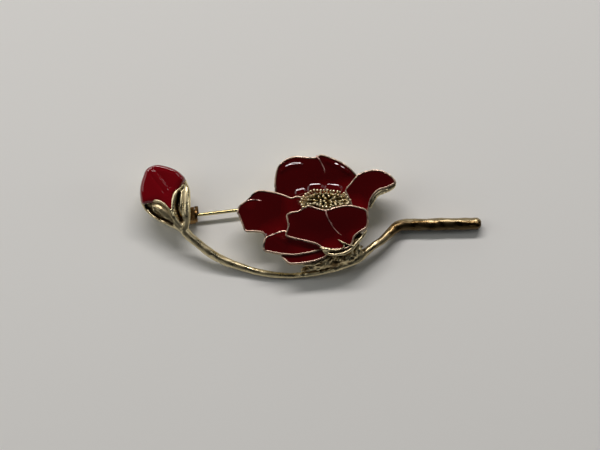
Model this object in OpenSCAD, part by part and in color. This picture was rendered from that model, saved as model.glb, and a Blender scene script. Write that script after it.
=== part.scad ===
// Flower brooch: a cast gold-tone branch with an enamelled bud and flower, and a hinged pin
// behind it with a turning safety catch. It lies face up: +X runs along the branch from the
// bud to the cut twig, and +Z is the face. The hinge and the catch stand on z = 0, and the bend
// of the branch and its thick twig end come down to within a tenth of a millimetre of it.

/* [Casting] */
// Height of the flat back that carries the hinge and the catch
back_height = 3.6; // [3.5:0.05:3.7]
// Width of the raised metal rim round each petal
rim_width = 0.36; // [0.3:0.02:0.4]
// Depth of the recess that holds the enamel, at the rim
recess_depth = 0.45; // [0.35:0.05:0.5]
// Thickness of the enamel in the middle of a petal
enamel_thickness = 0.5; // [0.4:0.05:0.6]
// Width of the metal lines that rise through the enamel
crease_width = 0.26; // [0.22:0.02:0.34]
// Height of the bark's ridges as a share of the branch's radius
bark_relief = 0.07; // [0.02:0.01:0.09]

/* [Stamens] */
// Radius of a stamen's stalk
stalk_radius = 0.17; // [0.14:0.01:0.2]
// Radius of the bead on a stamen
bead_radius = 0.26; // [0.22:0.01:0.29]

/* [Pin] */
// Height of the pin's axis above the surface it lies on
pin_height = 1.75; // [1.7:0.05:1.8]
// Radius of the pin's shank
pin_radius = 0.35; // [0.3:0.01:0.38]
// Length of the shank's straight stretch between the hinge and the catch
shank_length = 30; // [28:0.5:30.5]
// Distance from the hinge's rivet to the middle of the catch
catch_distance = 34.2; // [34:0.1:34.4]
// Radius of the rivet
rivet_radius = 0.4; // [0.35:0.05:0.45]

/* [Fits] */
// Gap between an enamel and the metal round it
enamel_gap = 0.04; // [0.03:0.01:0.06]
// Gap between a soldered foot and the back it sits on
seat_gap = 0.03; // [0.02:0.01:0.05]
// Radial clearance of the rivet in the pin's eye
hinge_clearance = 0.05; // [0.03:0.01:0.08]
// Clearance of the roller in the catch
roller_clearance = 0.06; // [0.04:0.01:0.08]

/* [Hidden] */

gold = [0.84, 0.73, 0.5];
brass = [0.85, 0.7, 0.36];
maroon = [0.36, 0.02, 0.04];
red = [0.55, 0.03, 0.08];

// Where the middle of the brooch's box lies in the tables' coordinates
middle_x = -0.083;
middle_y = 0.284;

// Each outline below runs clockwise seen from the face. Where a petal passes under its neighbour,
// its outline goes on inside the neighbour's metal, and the neighbour's outline cuts its enamel.
// Columns of a petal's rows: x, y, height of the rim, height of its outer wall
top_petal = [
    [-7.5, 5.6, 6.3, 1.4], [-7.5, 7.8, 6.4, 1.3], [-6.9, 10.0, 6.6, 1.2], [-5.6, 11.3, 6.6, 1.2],
    [-3.7, 12.0, 6.6, 1.2], [-1.7, 12.0, 6.7, 1.2], [0.6, 11.8, 6.8, 1.2], [2.0, 12.6, 7.0, 1.4],
    [3.8, 11.9, 6.9, 1.3], [5.9, 11.0, 6.8, 1.2], [7.9, 9.6, 6.7, 1.2], [9.2, 8.4, 6.3, 1.2],
    [9.9, 7.18, 5.9, 1.1], [8.45, 4.68, 5.65, 1.03], [5.92, 3.65, 5.75, 1.11], [3.0, 3.6, 5.8, 1.0],
    [-0.3, 3.3, 5.8, 1.0], [-2.6, 2.7, 5.65, 1.0], [-4.8, 2.8, 5.73, 1.0], [-7.0, 3.8, 5.8, 1.1]];
left_petal = [
    [-15.15, 0.7, 6.5, 1.2], [-14.7, 2.1, 6.5, 1.2], [-13.1, 3.3, 6.6, 1.2], [-12.0, 4.5, 6.7, 1.3],
    [-10.8, 5.2, 6.8, 1.4], [-8.4, 5.0, 6.9, 1.5], [-6.0, 4.4, 6.9, 1.6], [-4.15, 3.7, 6.8, 1.6],
    [-3.1, 4.0, 6.8, 1.6], [-1.5, 3.7, 6.5, 1.4], [-0.9, 2.3, 6.3, 1.2], [-1.5, -0.4, 6.2, 1.2],
    [-3.6, -1.5, 6.2, 1.2], [-3.9, -3.0, 6.0, 1.1], [-5.2, -4.6, 5.7, 0.93], [-7.0, -5.1, 5.6, 0.8],
    [-8.9, -5.6, 5.7, 0.9], [-10.1, -4.2, 6.3, 1.1], [-12.3, -3.3, 6.4, 1.2],
    [-13.8, -2.8, 6.4, 1.2], [-14.7, -0.8, 6.4, 1.2]];
right_petal = [
    [6.84, 5.27, 6.64, 1.69], [8.0, 6.7, 6.87, 1.6], [9.4, 8.3, 7.1, 1.6], [10.8, 9.0, 7.2, 1.6],
    [12.6, 9.4, 7.2, 1.6], [14.5, 9.2, 7.2, 1.7], [16.2, 8.3, 7.2, 1.8], [17.3, 6.8, 7.2, 2.0],
    [15.7, 5.7, 7.1, 2.3], [13.8, 5.1, 7.0, 2.3], [12.7, 4.0, 7.0, 2.2], [12.1, 2.7, 6.9, 2.1],
    [11.8, 1.2, 6.7, 1.9], [10.8, -0.4, 6.2, 1.3], [8.7, 0.2, 6.1, 1.2], [8.07, 2.3, 6.55, 1.52],
    [7.32, 4.05, 6.62, 1.48]];
front_petal = [
    [-5.1, -0.4, 8.1, 3.0], [-4.2, 0.3, 8.4, 3.4], [-2.5, 0.6, 8.6, 3.6], [-0.7, 1.6, 8.8, 3.8],
    [1.2, 1.1, 8.8, 3.8], [3.0, 0.7, 8.8, 3.8], [5.1, 1.3, 8.8, 3.8], [7.29, 1.77, 8.61, 3.71],
    [9.7, 1.37, 8.68, 3.56], [11.3, 0.7, 8.3, 3.3], [11.7, -1.1, 8.1, 3.0], [11.4, -2.8, 7.9, 2.8],
    [10.0, -3.8, 7.8, 2.7], [8.87, -4.7, 7.7, 2.6], [8.4, -6.2, 7.5, 2.43], [7.1, -7.2, 7.4, 2.3],
    [4.62, -7.4, 7.4, 2.3], [2.4, -7.1, 7.4, 2.32], [0.8, -6.2, 7.5, 2.43], [-1.7, -5.6, 7.6, 2.5],
    [-4.1, -5.0, 7.7, 2.7], [-5.3, -4.35, 7.8, 2.8], [-4.8, -2.6, 8.0, 3.0]];
lower_petal = [
    [-9.3, -4.6, 6.62, 1.5], [-7.6, -3.8, 6.73, 1.6], [-5.7, -3.2, 6.7, 1.7], [-4.1, -3.6, 6.3, 1.4],
    [-1.3, -4.4, 6.2, 1.3], [1.35, -5.0, 6.2, 1.3], [3.54, -6.39, 6.05, 1.23], [2.3, -7.07, 6.27, 1.31],
    [-0.7, -7.9, 6.4, 1.5], [-3.5, -8.3, 6.4, 1.5], [-6.2, -8.1, 6.4, 1.4], [-8.4, -7.7, 6.4, 1.3],
    [-9.7, -7.3, 6.5, 1.3], [-9.8, -5.8, 6.6, 1.4]];
bottom_petal = [
    [-5.9, -7.0, 5.3, 0.7], [-3.5, -7.0, 5.2, 0.6], [-1.0, -6.75, 5.2, 0.6], [1.65, -5.9, 5.23, 0.63],
    [3.38, -6.68, 5.4, 0.8], [3.28, -8.3, 5.85, 1.21], [1.8, -9.1, 5.8, 1.2], [-0.3, -9.7, 5.8, 1.2],
    [-2.7, -10.0, 5.8, 1.2], [-4.5, -10.0, 5.8, 1.2], [-5.4, -9.2, 5.8, 1.2], [-6.1, -8.3, 5.7, 1.1]];
left_sepal = [
    [-34.3, 1.8, 6.3, 1.6], [-33.2, 2.6, 6.7, 1.8], [-31.3, 2.7, 7.1, 2.0], [-29.9, 1.9, 7.3, 2.2],
    [-28.9, 1.1, 7.4, 2.4], [-28.1, -0.5, 6.9, 2.2], [-26.9, -2.2, 6.2, 1.8], [-28.7, -1.4, 5.8, 1.4],
    [-31.1, 0.0, 5.5, 1.2], [-33.3, 1.0, 5.5, 1.2]];
right_sepal = [
    [-26.3, -2.4, 6.2, 1.8], [-27.6, -0.9, 6.9, 2.2], [-28.4, 1.1, 7.5, 2.4], [-28.4, 3.0, 7.6, 2.4],
    [-28.0, 4.6, 7.4, 2.2], [-27.0, 5.4, 7.1, 2.0], [-25.8, 6.4, 6.7, 1.8], [-25.5, 5.0, 6.1, 1.4],
    [-25.6, 3.2, 5.8, 1.2], [-25.5, 0.2, 5.8, 1.2]];

// Middles of the petals, from which their rings are drawn: x, y, height of the enamel there
top_middle = [0.5, 8.0, 5.6];
left_middle = [-9.6, 0.4, 5.9];
right_middle = [11.0, 5.6, 6.1];
front_middle = [3.4, -3.2, 7.2];
lower_middle = [-4.9, -6.0, 6.0];
bottom_middle = [-1.7, -8.7, 5.5];
flower_back = 4.35;
sepal_back = 4.5;
left_sepal_middle = [-30.6, 1.0, 6.2];
right_sepal_middle = [-27.1, 2.2, 6.3];

// The bud's gold cup. Columns: x, y, height of its widest line
bud_cup = [
    [-35.1, 4.2, 4.8], [-34.5, 7.7, 4.9], [-33.4, 9.9, 5.2], [-31.7, 10.6, 5.2], [-29.7, 10.3, 5.2],
    [-27.6, 9.5, 5.2], [-26.1, 8.4, 4.9], [-25.2, 6.6, 4.7], [-24.8, 4.1, 4.6], [-24.7, 1.4, 4.6],
    [-24.8, -1.3, 4.6], [-25.5, -2.7, 4.6], [-26.6, -3.1, 4.6], [-27.9, -2.5, 4.6],
    [-30.3, -1.1, 4.6], [-32.5, 0.2, 4.6], [-33.9, 1.6, 4.6], [-34.8, 2.9, 4.7]];
bud_middle = [-29.9, 4.2];
bud_cup_top = 5.5;
// The bud's enamel. Columns: x, y, height of its edge
bud_enamel = [
    [-33.5, 9.5, 6.0], [-31.8, 10.2, 6.0], [-30.2, 10.1, 6.0], [-28.4, 9.5, 6.0], [-26.9, 8.4, 6.1],
    [-26.1, 7.1, 6.4], [-27.3, 5.8, 7.1], [-28.4, 4.9, 7.4], [-28.9, 3.6, 7.6], [-28.8, 1.7, 7.6],
    [-29.8, 2.3, 7.4], [-31.3, 3.1, 7.1], [-33.1, 3.0, 6.7], [-34.2, 2.4, 6.1], [-34.8, 4.0, 5.9],
    [-34.6, 5.9, 5.9], [-34.1, 7.9, 5.9]];
bud_enamel_middle = [-30.7, 6.0];
bud_top = 8.9;

// The branch. Columns: x, y, height of its axis, radius
branch = [
    [-27.4, -0.9, 4.9, 0.9], [-25.9, -2.9, 4.6, 0.95], [-24.6, -4.4, 4.1, 0.93], [-22.7, -6.3, 3.3, 0.86],
    [-20.8, -7.7, 2.5, 0.76], [-18.2, -8.9, 1.7, 0.68], [-15.0, -9.9, 1.05, 0.62],
    [-11.3, -10.7, 0.75, 0.56], [-7.4, -11.3, 0.62, 0.52], [-3.5, -11.5, 0.66, 0.52],
    [0.6, -11.15, 1.5, 0.58], [4.4, -10.55, 2.4, 0.66], [7.3, -9.6, 2.9, 0.76], [9.6, -8.4, 3.15, 0.83],
    [11.3, -6.95, 3.1, 0.8], [12.9, -5.7, 2.9, 0.82], [14.5, -4.4, 2.6, 0.88], [15.9, -3.0, 2.2, 0.98],
    [17.1, -1.6, 1.8, 1.02], [18.6, -0.9, 1.5, 1.06], [21.2, -0.9, 1.4, 1.1], [24.3, -1.0, 1.38, 1.18],
    [27.7, -0.9, 1.38, 1.24], [31.4, -0.8, 1.38, 1.28], [34.0, -0.7, 1.36, 1.24], [34.9, -0.7, 1.34, 0.95]];
branch_sides = 10;
bark_ridges = 4;
bark_twist = 9;

// The knot under the flower. Columns: x, y, height, radius
knot = [
    [-1.3, -10.4, 2.3, 0.72], [0.9, -9.9, 3.0, 1.05], [3.3, -9.4, 3.4, 1.2], [5.9, -8.8, 3.6, 1.2],
    [8.2, -7.9, 3.6, 1.15], [10.1, -6.7, 3.5, 0.9]];
// The arms from the knot up to the flower, each a row for its foot and a row for its top
// Columns: x, y, height, radius
knot_arms = [
    [[1.1, -9.7, 3.0, 0.9], [0.8, -5.6, 3.9, 0.8]], [[4.7, -9.3, 3.6, 1.1], [4.6, -4.7, 4.7, 1.1]],
    [[8.1, -7.9, 3.7, 1.05], [7.3, -4.2, 5.0, 1.2]], [[9.1, -6.9, 3.6, 0.8], [9.0, -3.7, 5.2, 0.7]]];
// The rolled lip under the front petal. Columns: x, y, height, radius
front_lip = [
    [1.92, -6.7, 6.05, 0.37], [3.0, -7.56, 5.9, 0.53], [4.4, -7.93, 5.9, 0.55], [6.0, -7.9, 5.9, 0.58],
    [7.4, -7.4, 6.0, 0.6], [8.6, -6.53, 6.2, 0.62], [9.4, -5.3, 6.4, 0.66], [10.3, -4.2, 6.6, 0.62],
    [11.2, -3.2, 6.9, 0.4]];
// The leaf edge under the bottom petal. Columns: x, y, height, radius
leaf_edge = [
    [-2.1, -9.75, 4.95, 0.26], [-0.1, -9.95, 4.9, 0.36], [1.9, -9.3, 4.9, 0.36], [3.58, -8.5, 5.1, 0.34]];
// The curled tip of the front petal. Columns: x, y, height, radius
front_curl = [
    [5.5, -5.3, 7.4, 0.18], [6.3, -6.0, 7.4, 0.42], [7.2, -6.6, 7.18, 0.62], [8.08, -6.97, 6.9, 0.78]];

// Metal lines in the enamel. Columns: x, y, height of the line's top
front_crease = [
    [3.0, 0.6, 8.7], [3.1, -0.3, 8.1], [3.6, -1.4, 7.7], [4.4, -2.7, 7.4], [5.3, -3.7, 7.4],
    [6.1, -4.3, 7.4]];
top_crease = [[1.3, 12.0, 6.7], [2.0, 11.3, 6.4], [2.5, 10.5, 6.1], [2.9, 9.4, 5.9]];
heart_crease = [[2.6, 7.0, 5.8], [2.6, 5.9, 5.9], [2.6, 4.6, 6.1]];
left_crease = [[-12.85, 3.1, 6.5], [-11.6, 3.3, 6.3], [-10.4, 3.1, 6.2]];
crease_height = 1.0;

// Rows of stamens. Columns: count, half width of the row, y of the feet, y of the beads,
// height of the beads in the middle, drop of the outer beads
stamen_rows = [
    [13, 4.55, 3.75, 4.4, 8.1, 0.5], [12, 4.3, 3.25, 3.7, 8.0, 0.6], [11, 4.1, 2.75, 3.0, 8.0, 0.6],
    [10, 3.7, 2.3, 2.35, 8.2, 0.5]];
stamen_middle_x = 3.05;
stamen_foot = 6.1;
// The ground that the stamens stand on. Columns: x, y
stamen_ground_rows = [
    [-2.2, 2.65], [-1.9, 3.9], [0.4, 4.7], [3.0, 4.85], [5.8, 4.6], [7.55, 4.5], [8.08, 2.57], [6.6, 0.2],
    [3.0, -0.3], [-1.2, 0.2]];
stamen_ground_top = 6.4;
stamen_ground_bottom = 4.6;

// Smoothing: points that a curve has for each row of its table
petal_steps = 2;
branch_steps = 2;
crease_steps = 2;
bar_steps = 2;
lip_steps = 1;
// Sides of the round bars' sections
arm_sides = 8;
knot_sides = 9;
lip_sides = 8;
leaf_sides = 7;
curl_sides = 8;
knot_relief = 0.12;

// How far the recess's edge and the enamel's floor stand off, beside the named gaps
rim_draft = 0.02;
floor_gap_share = 1.5;
// Height above the flower's back up to which a petal cuts its neighbour's enamel
cut_height = 6;

// How much the stamens' beads wander from their rows, and the feet's share of a row's width
bead_wander = [0.1, 0.16, 0.3];
foot_row_share = 0.92;
bead_sides = 5;
stalk_sides = 4;

// The round pads on the back. Columns: radius at the back, radius at the top, height of the top
flower_pad = [1.2, -0.4];
flower_pad_sizes = [7.2, 8.2, 4.94];
hinge_pad_sizes = [2.5, 2.9, 5.1];
pad_sides = 24;

// The bud's cup: its flat back's share of the plan, and the ring between that and the widest line
cup_back_share = 0.62;
cup_turn_share = 0.88;
cup_turn_rise = 0.35;
cup_lip = 0.12;
// Shares of the plan at which the bud's dome has its rings
bud_rings = [1, 0.93, 0.76, 0.45];

// The rivet's middle, and how far the pin turns from the X axis
hinge = [9.4, 5.1];
pin_turn = 7;
round_sides = 48;
rivet_play = 0.02;

bracket_length = 3.8;
bracket_width = 2.9;
bracket_plate = 0.5;
ear_thickness = 0.45;
ear_gap = 1.1;
ear_length = 2.4;
eye_radius = 0.9;
eye_width = 1.0;
neck_width = 0.84;
neck_end = 1.9;
tip_end = 36.4;
tip_radius = 0.08;
rivet_head_radius = 0.7;
rivet_head = 0.25;

ring_length = 1.4;
ring_radius = pin_height;
ring_wall = 0.5;
flange_thickness = 0.35;
flange_radius = 1.5;
channel_radius = 0.5;
lever_reach = 1.75;
lever_width = 0.9;
lever_length = 0.75;
foot_width = 2.6;
foot_height = 0.6;

// The point at a share t of the way from b to c, on a smooth curve through a, b, c and d
function spline(a, b, c, d, t) =
    0.5 * (2 * b + (c - a) * t + (2 * a - 5 * b + 4 * c - d) * t * t + (3 * b - a - 3 * c + d) * t * t * t);

// A smooth closed curve through the rows of a table
function closed_curve(rows, steps) =
    let (n = len(rows))
    [for (i = [0:n - 1], k = [0:steps - 1])
        spline(rows[(i + n - 1) % n], rows[i], rows[(i + 1) % n], rows[(i + 2) % n], k / steps)];

// A smooth open curve through the rows of a table
function open_curve(rows, steps) =
    let (last = len(rows) - 1)
    concat([for (i = [0:last - 1], k = [0:steps - 1])
        spline(rows[max(i - 1, 0)], rows[i], rows[i + 1], rows[min(i + 2, last)], k / steps)], [rows[last]]);

// A closed clockwise curve's plan moved inwards by a distance
function inset(curve, distance) =
    let (n = len(curve))
    [for (i = [0:n - 1])
        let (
            before = curve[(i + n - 1) % n],
            after = curve[(i + 1) % n],
            along = [after.x - before.x, after.y - before.y],
            inward = [along.y, -along.x] / norm(along)
        )
        [curve[i].x + distance * inward.x, curve[i].y + distance * inward.y]];

// A plan drawn in towards a middle point, to a share of its size
function shrunk(ring, middle, share) =
    [for (p = ring) [middle.x + share * (p.x - middle.x), middle.y + share * (p.y - middle.y)]];

// A plan with a height for each of its points
function lifted(ring, heights) = [for (i = [0:len(ring) - 1]) [ring[i].x, ring[i].y, heights[i]]];

// A closed solid through rings of points, with a fan of triangles to a point at each end
// Each four-sided patch between two rings is split along one or the other diagonal
module loft(rings, first_point, last_point, other_diagonal = false) {
    n = len(rings[0]);
    m = len(rings);
    sides = [for (k = [0:m - 2], i = [0:n - 1])
        let (a = k * n + i, b = k * n + (i + 1) % n)
        each other_diagonal ? [[a, b, a + n], [b, b + n, a + n]] : [[a, b, b + n], [a, b + n, a + n]]];
    first_fan = [for (i = [0:n - 1]) [m * n, (i + 1) % n, i]];
    last_fan = [for (i = [0:n - 1]) [m * n + 1, (m - 1) * n + i, (m - 1) * n + (i + 1) % n]];
    polyhedron(
        points = concat([for (ring = rings) each ring], [first_point, last_point]),
        faces = concat(sides, first_fan, last_fan));
}

// How far a bowl's surface has risen from its middle to its rim, at a share of the way out
function bowl(share) = share * share * share;

floor_share = 0.6;

// A metal dish with a raised rim; its floor is cut down to hold enamel
module dish(rows, middle, back) {
    curve = closed_curve(rows, petal_steps);
    edge = inset(curve, rim_width + rim_draft);
    floor_middle = middle.z - enamel_thickness;
    crest_drop = 0.1;
    foot_share = 0.8;
    wall_share = 0.97;
    loft([
        lifted(shrunk(curve, middle, foot_share), [for (p = curve) back]),
        lifted(shrunk(curve, middle, wall_share), [for (p = curve) p[2] - p[3]]),
        lifted(curve, [for (p = curve) p[2] - crest_drop]),
        lifted(inset(curve, rim_width / 2), [for (p = curve) p[2]]),
        lifted(inset(curve, rim_width), [for (p = curve) p[2] - crest_drop]),
        lifted(edge, [for (p = curve) p[2] - recess_depth]),
        lifted(shrunk(edge, middle, floor_share),
            [for (p = curve) floor_middle + bowl(floor_share) * (p[2] - recess_depth - floor_middle)])],
        [middle.x, middle.y, back],
        [middle.x, middle.y, floor_middle]);
}

// The enamel that fills a dish, a little below its rim and hollowed like a meniscus
module filling(rows, middle) {
    curve = closed_curve(rows, petal_steps);
    edge = inset(curve, rim_width + rim_draft + enamel_gap);
    floor_gap = floor_gap_share * enamel_gap;
    floor_middle = middle.z - enamel_thickness + floor_gap;
    fill_drop = 0.12;
    outer_share = 0.86;
    inner_share = 0.5;
    loft([
        lifted(shrunk(edge, middle, floor_share), [for (p = curve)
            floor_middle + bowl(floor_share) * (p[2] - recess_depth + floor_gap - floor_middle)]),
        lifted(edge, [for (p = curve) p[2] - recess_depth + floor_gap]),
        lifted(edge, [for (p = curve) p[2] - fill_drop]),
        lifted(shrunk(edge, middle, outer_share),
            [for (p = curve) middle.z + bowl(outer_share) * (p[2] - fill_drop - middle.z)]),
        lifted(shrunk(edge, middle, inner_share),
            [for (p = curve) middle.z + bowl(inner_share) * (p[2] - fill_drop - middle.z)])],
        [middle.x, middle.y, floor_middle],
        [middle.x, middle.y, middle.z],
        true);
}

// A thin upright wall along a curve, with its top at the curve's own heights
module crease(rows, grow) {
    curve = open_curve(rows, crease_steps);
    last = len(curve) - 1;
    half = crease_width / 2 + grow;
    rings = [for (i = [0:last])
        let (
            p = curve[i],
            before = curve[max(i - 1, 0)],
            after = curve[min(i + 1, last)],
            way = [after.x - before.x, after.y - before.y],
            along = way / norm(way),
            side = half * [along.y, -along.x],
            low = p.z - crease_height - grow,
            high = p.z + 4 * grow,
            middle = [p.x, p.y] + end_sign(i, last) * grow * along
        )
        [[middle.x + side.x, middle.y + side.y, low], [middle.x + side.x, middle.y + side.y, high],
            [middle.x - side.x, middle.y - side.y, high], [middle.x - side.x, middle.y - side.y, low]]];
    loft(rings, middle_of(rings[0]), middle_of(rings[last]));
}

// -1 at the start of a curve, 1 at its end and 0 between
function end_sign(i, last) = i == 0 ? -1 : i == last ? 1 : 0;

function middle_of(ring) = let (n = len(ring)) [for (p = ring) 1] * ring / n;

// A round bar along a curve; its radius is the curve's last column, ridges may wind along it,
// and it may be grown all round and at its ends
module bar(rows, sides, steps, relief = 0, grow = 0) {
    curve = open_curve(rows, steps);
    last = len(curve) - 1;
    rings = [for (i = [0:last])
        let (
            p = curve[i],
            before = curve[max(i - 1, 0)],
            after = curve[min(i + 1, last)],
            way = [after.x - before.x, after.y - before.y, after.z - before.z],
            along = way / norm(way),
            side = [along.y, -along.x, 0] / norm([along.x, along.y]),
            up = cross(side, along),
            middle = [p.x, p.y, p.z] + end_sign(i, last) * grow * along
        )
        [for (k = [0:sides - 1])
            let (
                turn = 360 * k / sides,
                radius = grow + p[3] * (1 + relief * sin(bark_ridges * turn + bark_twist * i))
            )
            middle + radius * (cos(turn) * side + sin(turn) * up)]];
    loft(rings, middle_of(rings[0]), middle_of(rings[last]));
}

module ball(place, radius, sides) {
    translate([place.x, place.y, place.z]) sphere(r = radius, $fn = sides);
}

// A number from 0 to 1 that looks random but is the same each time
function scatter(n) = let (wave = sin(n * 128.7) * 43.7) wave - floor(wave);

module stamens() {
    for (r = [0:len(stamen_rows) - 1])
        for (k = [0:stamen_rows[r][0] - 1]) {
            row = stamen_rows[r];
            share = 2 * k / (row[0] - 1) - 1;
            seed = 31 * r + k;
            bead_x = stamen_middle_x + row[1] * share + bead_wander.x * (scatter(seed) - 0.5);
            bead_y = row[3] + bead_wander.y * (scatter(seed + 7) - 0.5);
            bead_z = row[4] - row[5] * share * share + bead_wander.z * (scatter(seed + 13) - 0.5);
            foot_x = stamen_middle_x + foot_row_share * row[1] * share;
            hull() {
                ball([bead_x, bead_y, bead_z], bead_radius, bead_sides);
                ball([foot_x, row[2], stamen_foot], stalk_radius, stalk_sides);
            }
        }
}

// The ground that the stamens stand on
module stamen_ground() {
    translate([0, 0, stamen_ground_bottom])
        linear_extrude(height = stamen_ground_top - stamen_ground_bottom)
            polygon(outline_of(stamen_ground_rows, 0));
}

// The plan of a closed table of rows, grown outwards
function outline_of(rows, grow) = inset(closed_curve(rows, petal_steps), -grow);

// The upright space that a petal or the stamens' ground takes from the enamels beside it
module taken_by(rows) {
    translate([0, 0, flower_back])
        linear_extrude(height = cut_height)
            polygon(outline_of(rows, enamel_gap));
}

// A round pad on the back, widening upwards to carry the petals
module back_pad(place, sizes) {
    translate([place.x, place.y, back_height])
        cylinder(r1 = sizes[0], r2 = sizes[1], h = sizes[2] - back_height, $fn = pad_sides);
}

module bud_cup_solid() {
    curve = closed_curve(bud_cup, petal_steps);
    loft([
        lifted(shrunk(curve, bud_middle, cup_back_share), [for (p = curve) back_height]),
        lifted(shrunk(curve, bud_middle, cup_turn_share),
            [for (p = curve) back_height + cup_turn_rise * (p[2] - back_height)]),
        lifted(curve, [for (p = curve) p[2]]),
        lifted(inset(curve, cup_lip), [for (p = curve) bud_cup_top])],
        [bud_middle.x, bud_middle.y, back_height],
        [bud_middle.x, bud_middle.y, bud_cup_top]);
}

module casting() {
    color(gold) union() {
        dish(top_petal, top_middle, flower_back);
        dish(left_petal, left_middle, flower_back);
        dish(right_petal, right_middle, flower_back);
        dish(front_petal, front_middle, flower_back);
        dish(lower_petal, lower_middle, flower_back);
        dish(bottom_petal, bottom_middle, flower_back);
        dish(left_sepal, left_sepal_middle, sepal_back);
        dish(right_sepal, right_sepal_middle, sepal_back);
        bud_cup_solid();
        bar(branch, branch_sides, branch_steps, bark_relief);
        crease(front_crease, 0);
        crease(top_crease, 0);
        crease(heart_crease, 0);
        crease(left_crease, 0);
        bar(front_curl, curl_sides, bar_steps);
        bar(knot, knot_sides, bar_steps, knot_relief);
        for (arm = knot_arms)
            bar(arm, arm_sides, bar_steps, knot_relief);
        bar(front_lip, lip_sides, lip_steps);
        bar(leaf_edge, leaf_sides, bar_steps);
        stamens();
        stamen_ground();
        back_pad(flower_pad, flower_pad_sizes);
        back_pad(hinge, hinge_pad_sizes);
    }
}

module enamel_top() {
    color(maroon) difference() {
        filling(top_petal, top_middle);
        taken_by(left_petal);
        taken_by(right_petal);
        taken_by(stamen_ground_rows);
        crease(top_crease, enamel_gap);
        crease(heart_crease, enamel_gap);
    }
}

module enamel_left() {
    color(maroon) difference() {
        filling(left_petal, left_middle);
        taken_by(front_petal);
        taken_by(lower_petal);
        taken_by(stamen_ground_rows);
        crease(left_crease, enamel_gap);
    }
}

module enamel_right() {
    color(maroon) difference() {
        filling(right_petal, right_middle);
        taken_by(front_petal);
        taken_by(stamen_ground_rows);
    }
}

module enamel_front() {
    color(maroon) difference() {
        filling(front_petal, front_middle);
        crease(front_crease, enamel_gap);
        bar(front_curl, curl_sides, bar_steps, 0, 2 * enamel_gap);
    }
}

module enamel_lower() {
    color(maroon) difference() {
        filling(lower_petal, lower_middle);
        taken_by(front_petal);
    }
}

module enamel_bottom() {
    color(maroon) difference() {
        filling(bottom_petal, bottom_middle);
        taken_by(lower_petal);
        taken_by(front_petal);
        bar(front_lip, lip_sides, lip_steps, 0, 2 * enamel_gap);
    }
}

module enamel_bud() {
    edges = closed_curve(bud_enamel, petal_steps);
    curve = inset(edges, enamel_gap);
    color(red) loft(concat(
        [lifted(curve, [for (p = curve) bud_cup_top + enamel_gap])],
        [for (share = bud_rings) lifted(shrunk(curve, bud_enamel_middle, share),
            [for (p = edges) p[2] + sqrt(1 - share * share) * (bud_top - p[2])])]),
        [bud_enamel_middle.x, bud_enamel_middle.y, bud_cup_top + enamel_gap],
        [bud_enamel_middle.x, bud_enamel_middle.y, bud_top]);
}

// Puts a piece into the pin's own frame: its X axis is the pin, and the rivet is at the origin
module in_pin_frame() {
    translate([hinge.x, hinge.y, pin_height]) rotate([0, 0, pin_turn]) children();
}

// A cylinder that lies along the pin, from one distance from the rivet to another
module along_pin(start, end, radius) {
    translate([-end, 0, 0]) rotate([0, 90, 0]) cylinder(r = radius, h = end - start, $fn = round_sides);
}

// A cylinder across the pin, centred on it
module across_pin(half_length, radius) {
    rotate([90, 0, 0]) cylinder(r = radius, h = 2 * half_length, center = true, $fn = round_sides);
}

module hinge_bracket() {
    top = back_height - seat_gap - pin_height;
    ear_middle = ear_gap / 2 + ear_thickness / 2;
    color(brass) in_pin_frame() difference() {
        union() {
            translate([-bracket_length / 2, -bracket_width / 2, top - bracket_plate])
                cube([bracket_length, bracket_width, bracket_plate]);
            for (side = [-1, 1])
                translate([-ear_length / 2, side * ear_middle - ear_thickness / 2, -pin_height])
                    cube([ear_length, ear_thickness, top - bracket_plate + pin_height]);
        }
        across_pin(bracket_width, rivet_radius + rivet_play);
    }
}

module hinge_rivet() {
    grip = ear_gap / 2 + ear_thickness + rivet_play;
    color(brass) in_pin_frame() union() {
        across_pin(grip + rivet_head / 2, rivet_radius);
        for (side = [-1, 1])
            translate([0, side * (grip + rivet_head / 2), 0]) across_pin(rivet_head / 2, rivet_head_radius);
    }
}

module pin_needle() {
    shank_end = neck_end + shank_length;
    color(brass) in_pin_frame() difference() {
        union() {
            across_pin(eye_width / 2, eye_radius);
            translate([-neck_end, -neck_width / 2, -neck_width / 2])
                cube([neck_end, neck_width, neck_width]);
            along_pin(neck_end / 2, shank_end, pin_radius);
            translate([-tip_end, 0, 0]) rotate([0, 90, 0])
                cylinder(r1 = tip_radius, r2 = pin_radius, h = tip_end - shank_end, $fn = round_sides);
        }
        across_pin(eye_width, rivet_radius + hinge_clearance);
    }
}

module catch_housing() {
    top = back_height - seat_gap - pin_height;
    bore = ring_radius - ring_wall;
    color(brass) in_pin_frame() translate([-catch_distance, 0, 0]) difference() {
        union() {
            along_pin(-ring_length / 2, ring_length / 2, ring_radius);
            translate([-ring_length / 2, -foot_width / 2, top - foot_height])
                cube([ring_length, foot_width, foot_height]);
        }
        along_pin(-ring_length, ring_length, bore);
        translate([-ring_length, -channel_radius, -2 * ring_radius])
            cube([2 * ring_length, 2 * channel_radius, 2 * ring_radius]);
    }
}

module catch_roller() {
    bore = ring_radius - ring_wall;
    inner = ring_length / 2 + roller_clearance;
    outer = inner + flange_thickness;
    color(brass) in_pin_frame() translate([-catch_distance, 0, 0]) difference() {
        union() {
            along_pin(-outer, outer, bore - roller_clearance);
            along_pin(-outer, -inner, flange_radius);
            along_pin(inner, outer, flange_radius);
            translate([inner, 0, -lever_width / 2]) cube([lever_length, lever_reach, lever_width]);
        }
        along_pin(-2 * outer, 2 * outer, channel_radius);
        translate([-2 * outer, -channel_radius, -2 * flange_radius])
            cube([4 * outer, 2 * channel_radius, 2 * flange_radius]);
    }
}

// Moves a piece so that the middle of the whole brooch's box is at the origin
module placed() {
    translate([-middle_x, -middle_y, 0]) children();
}

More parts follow.
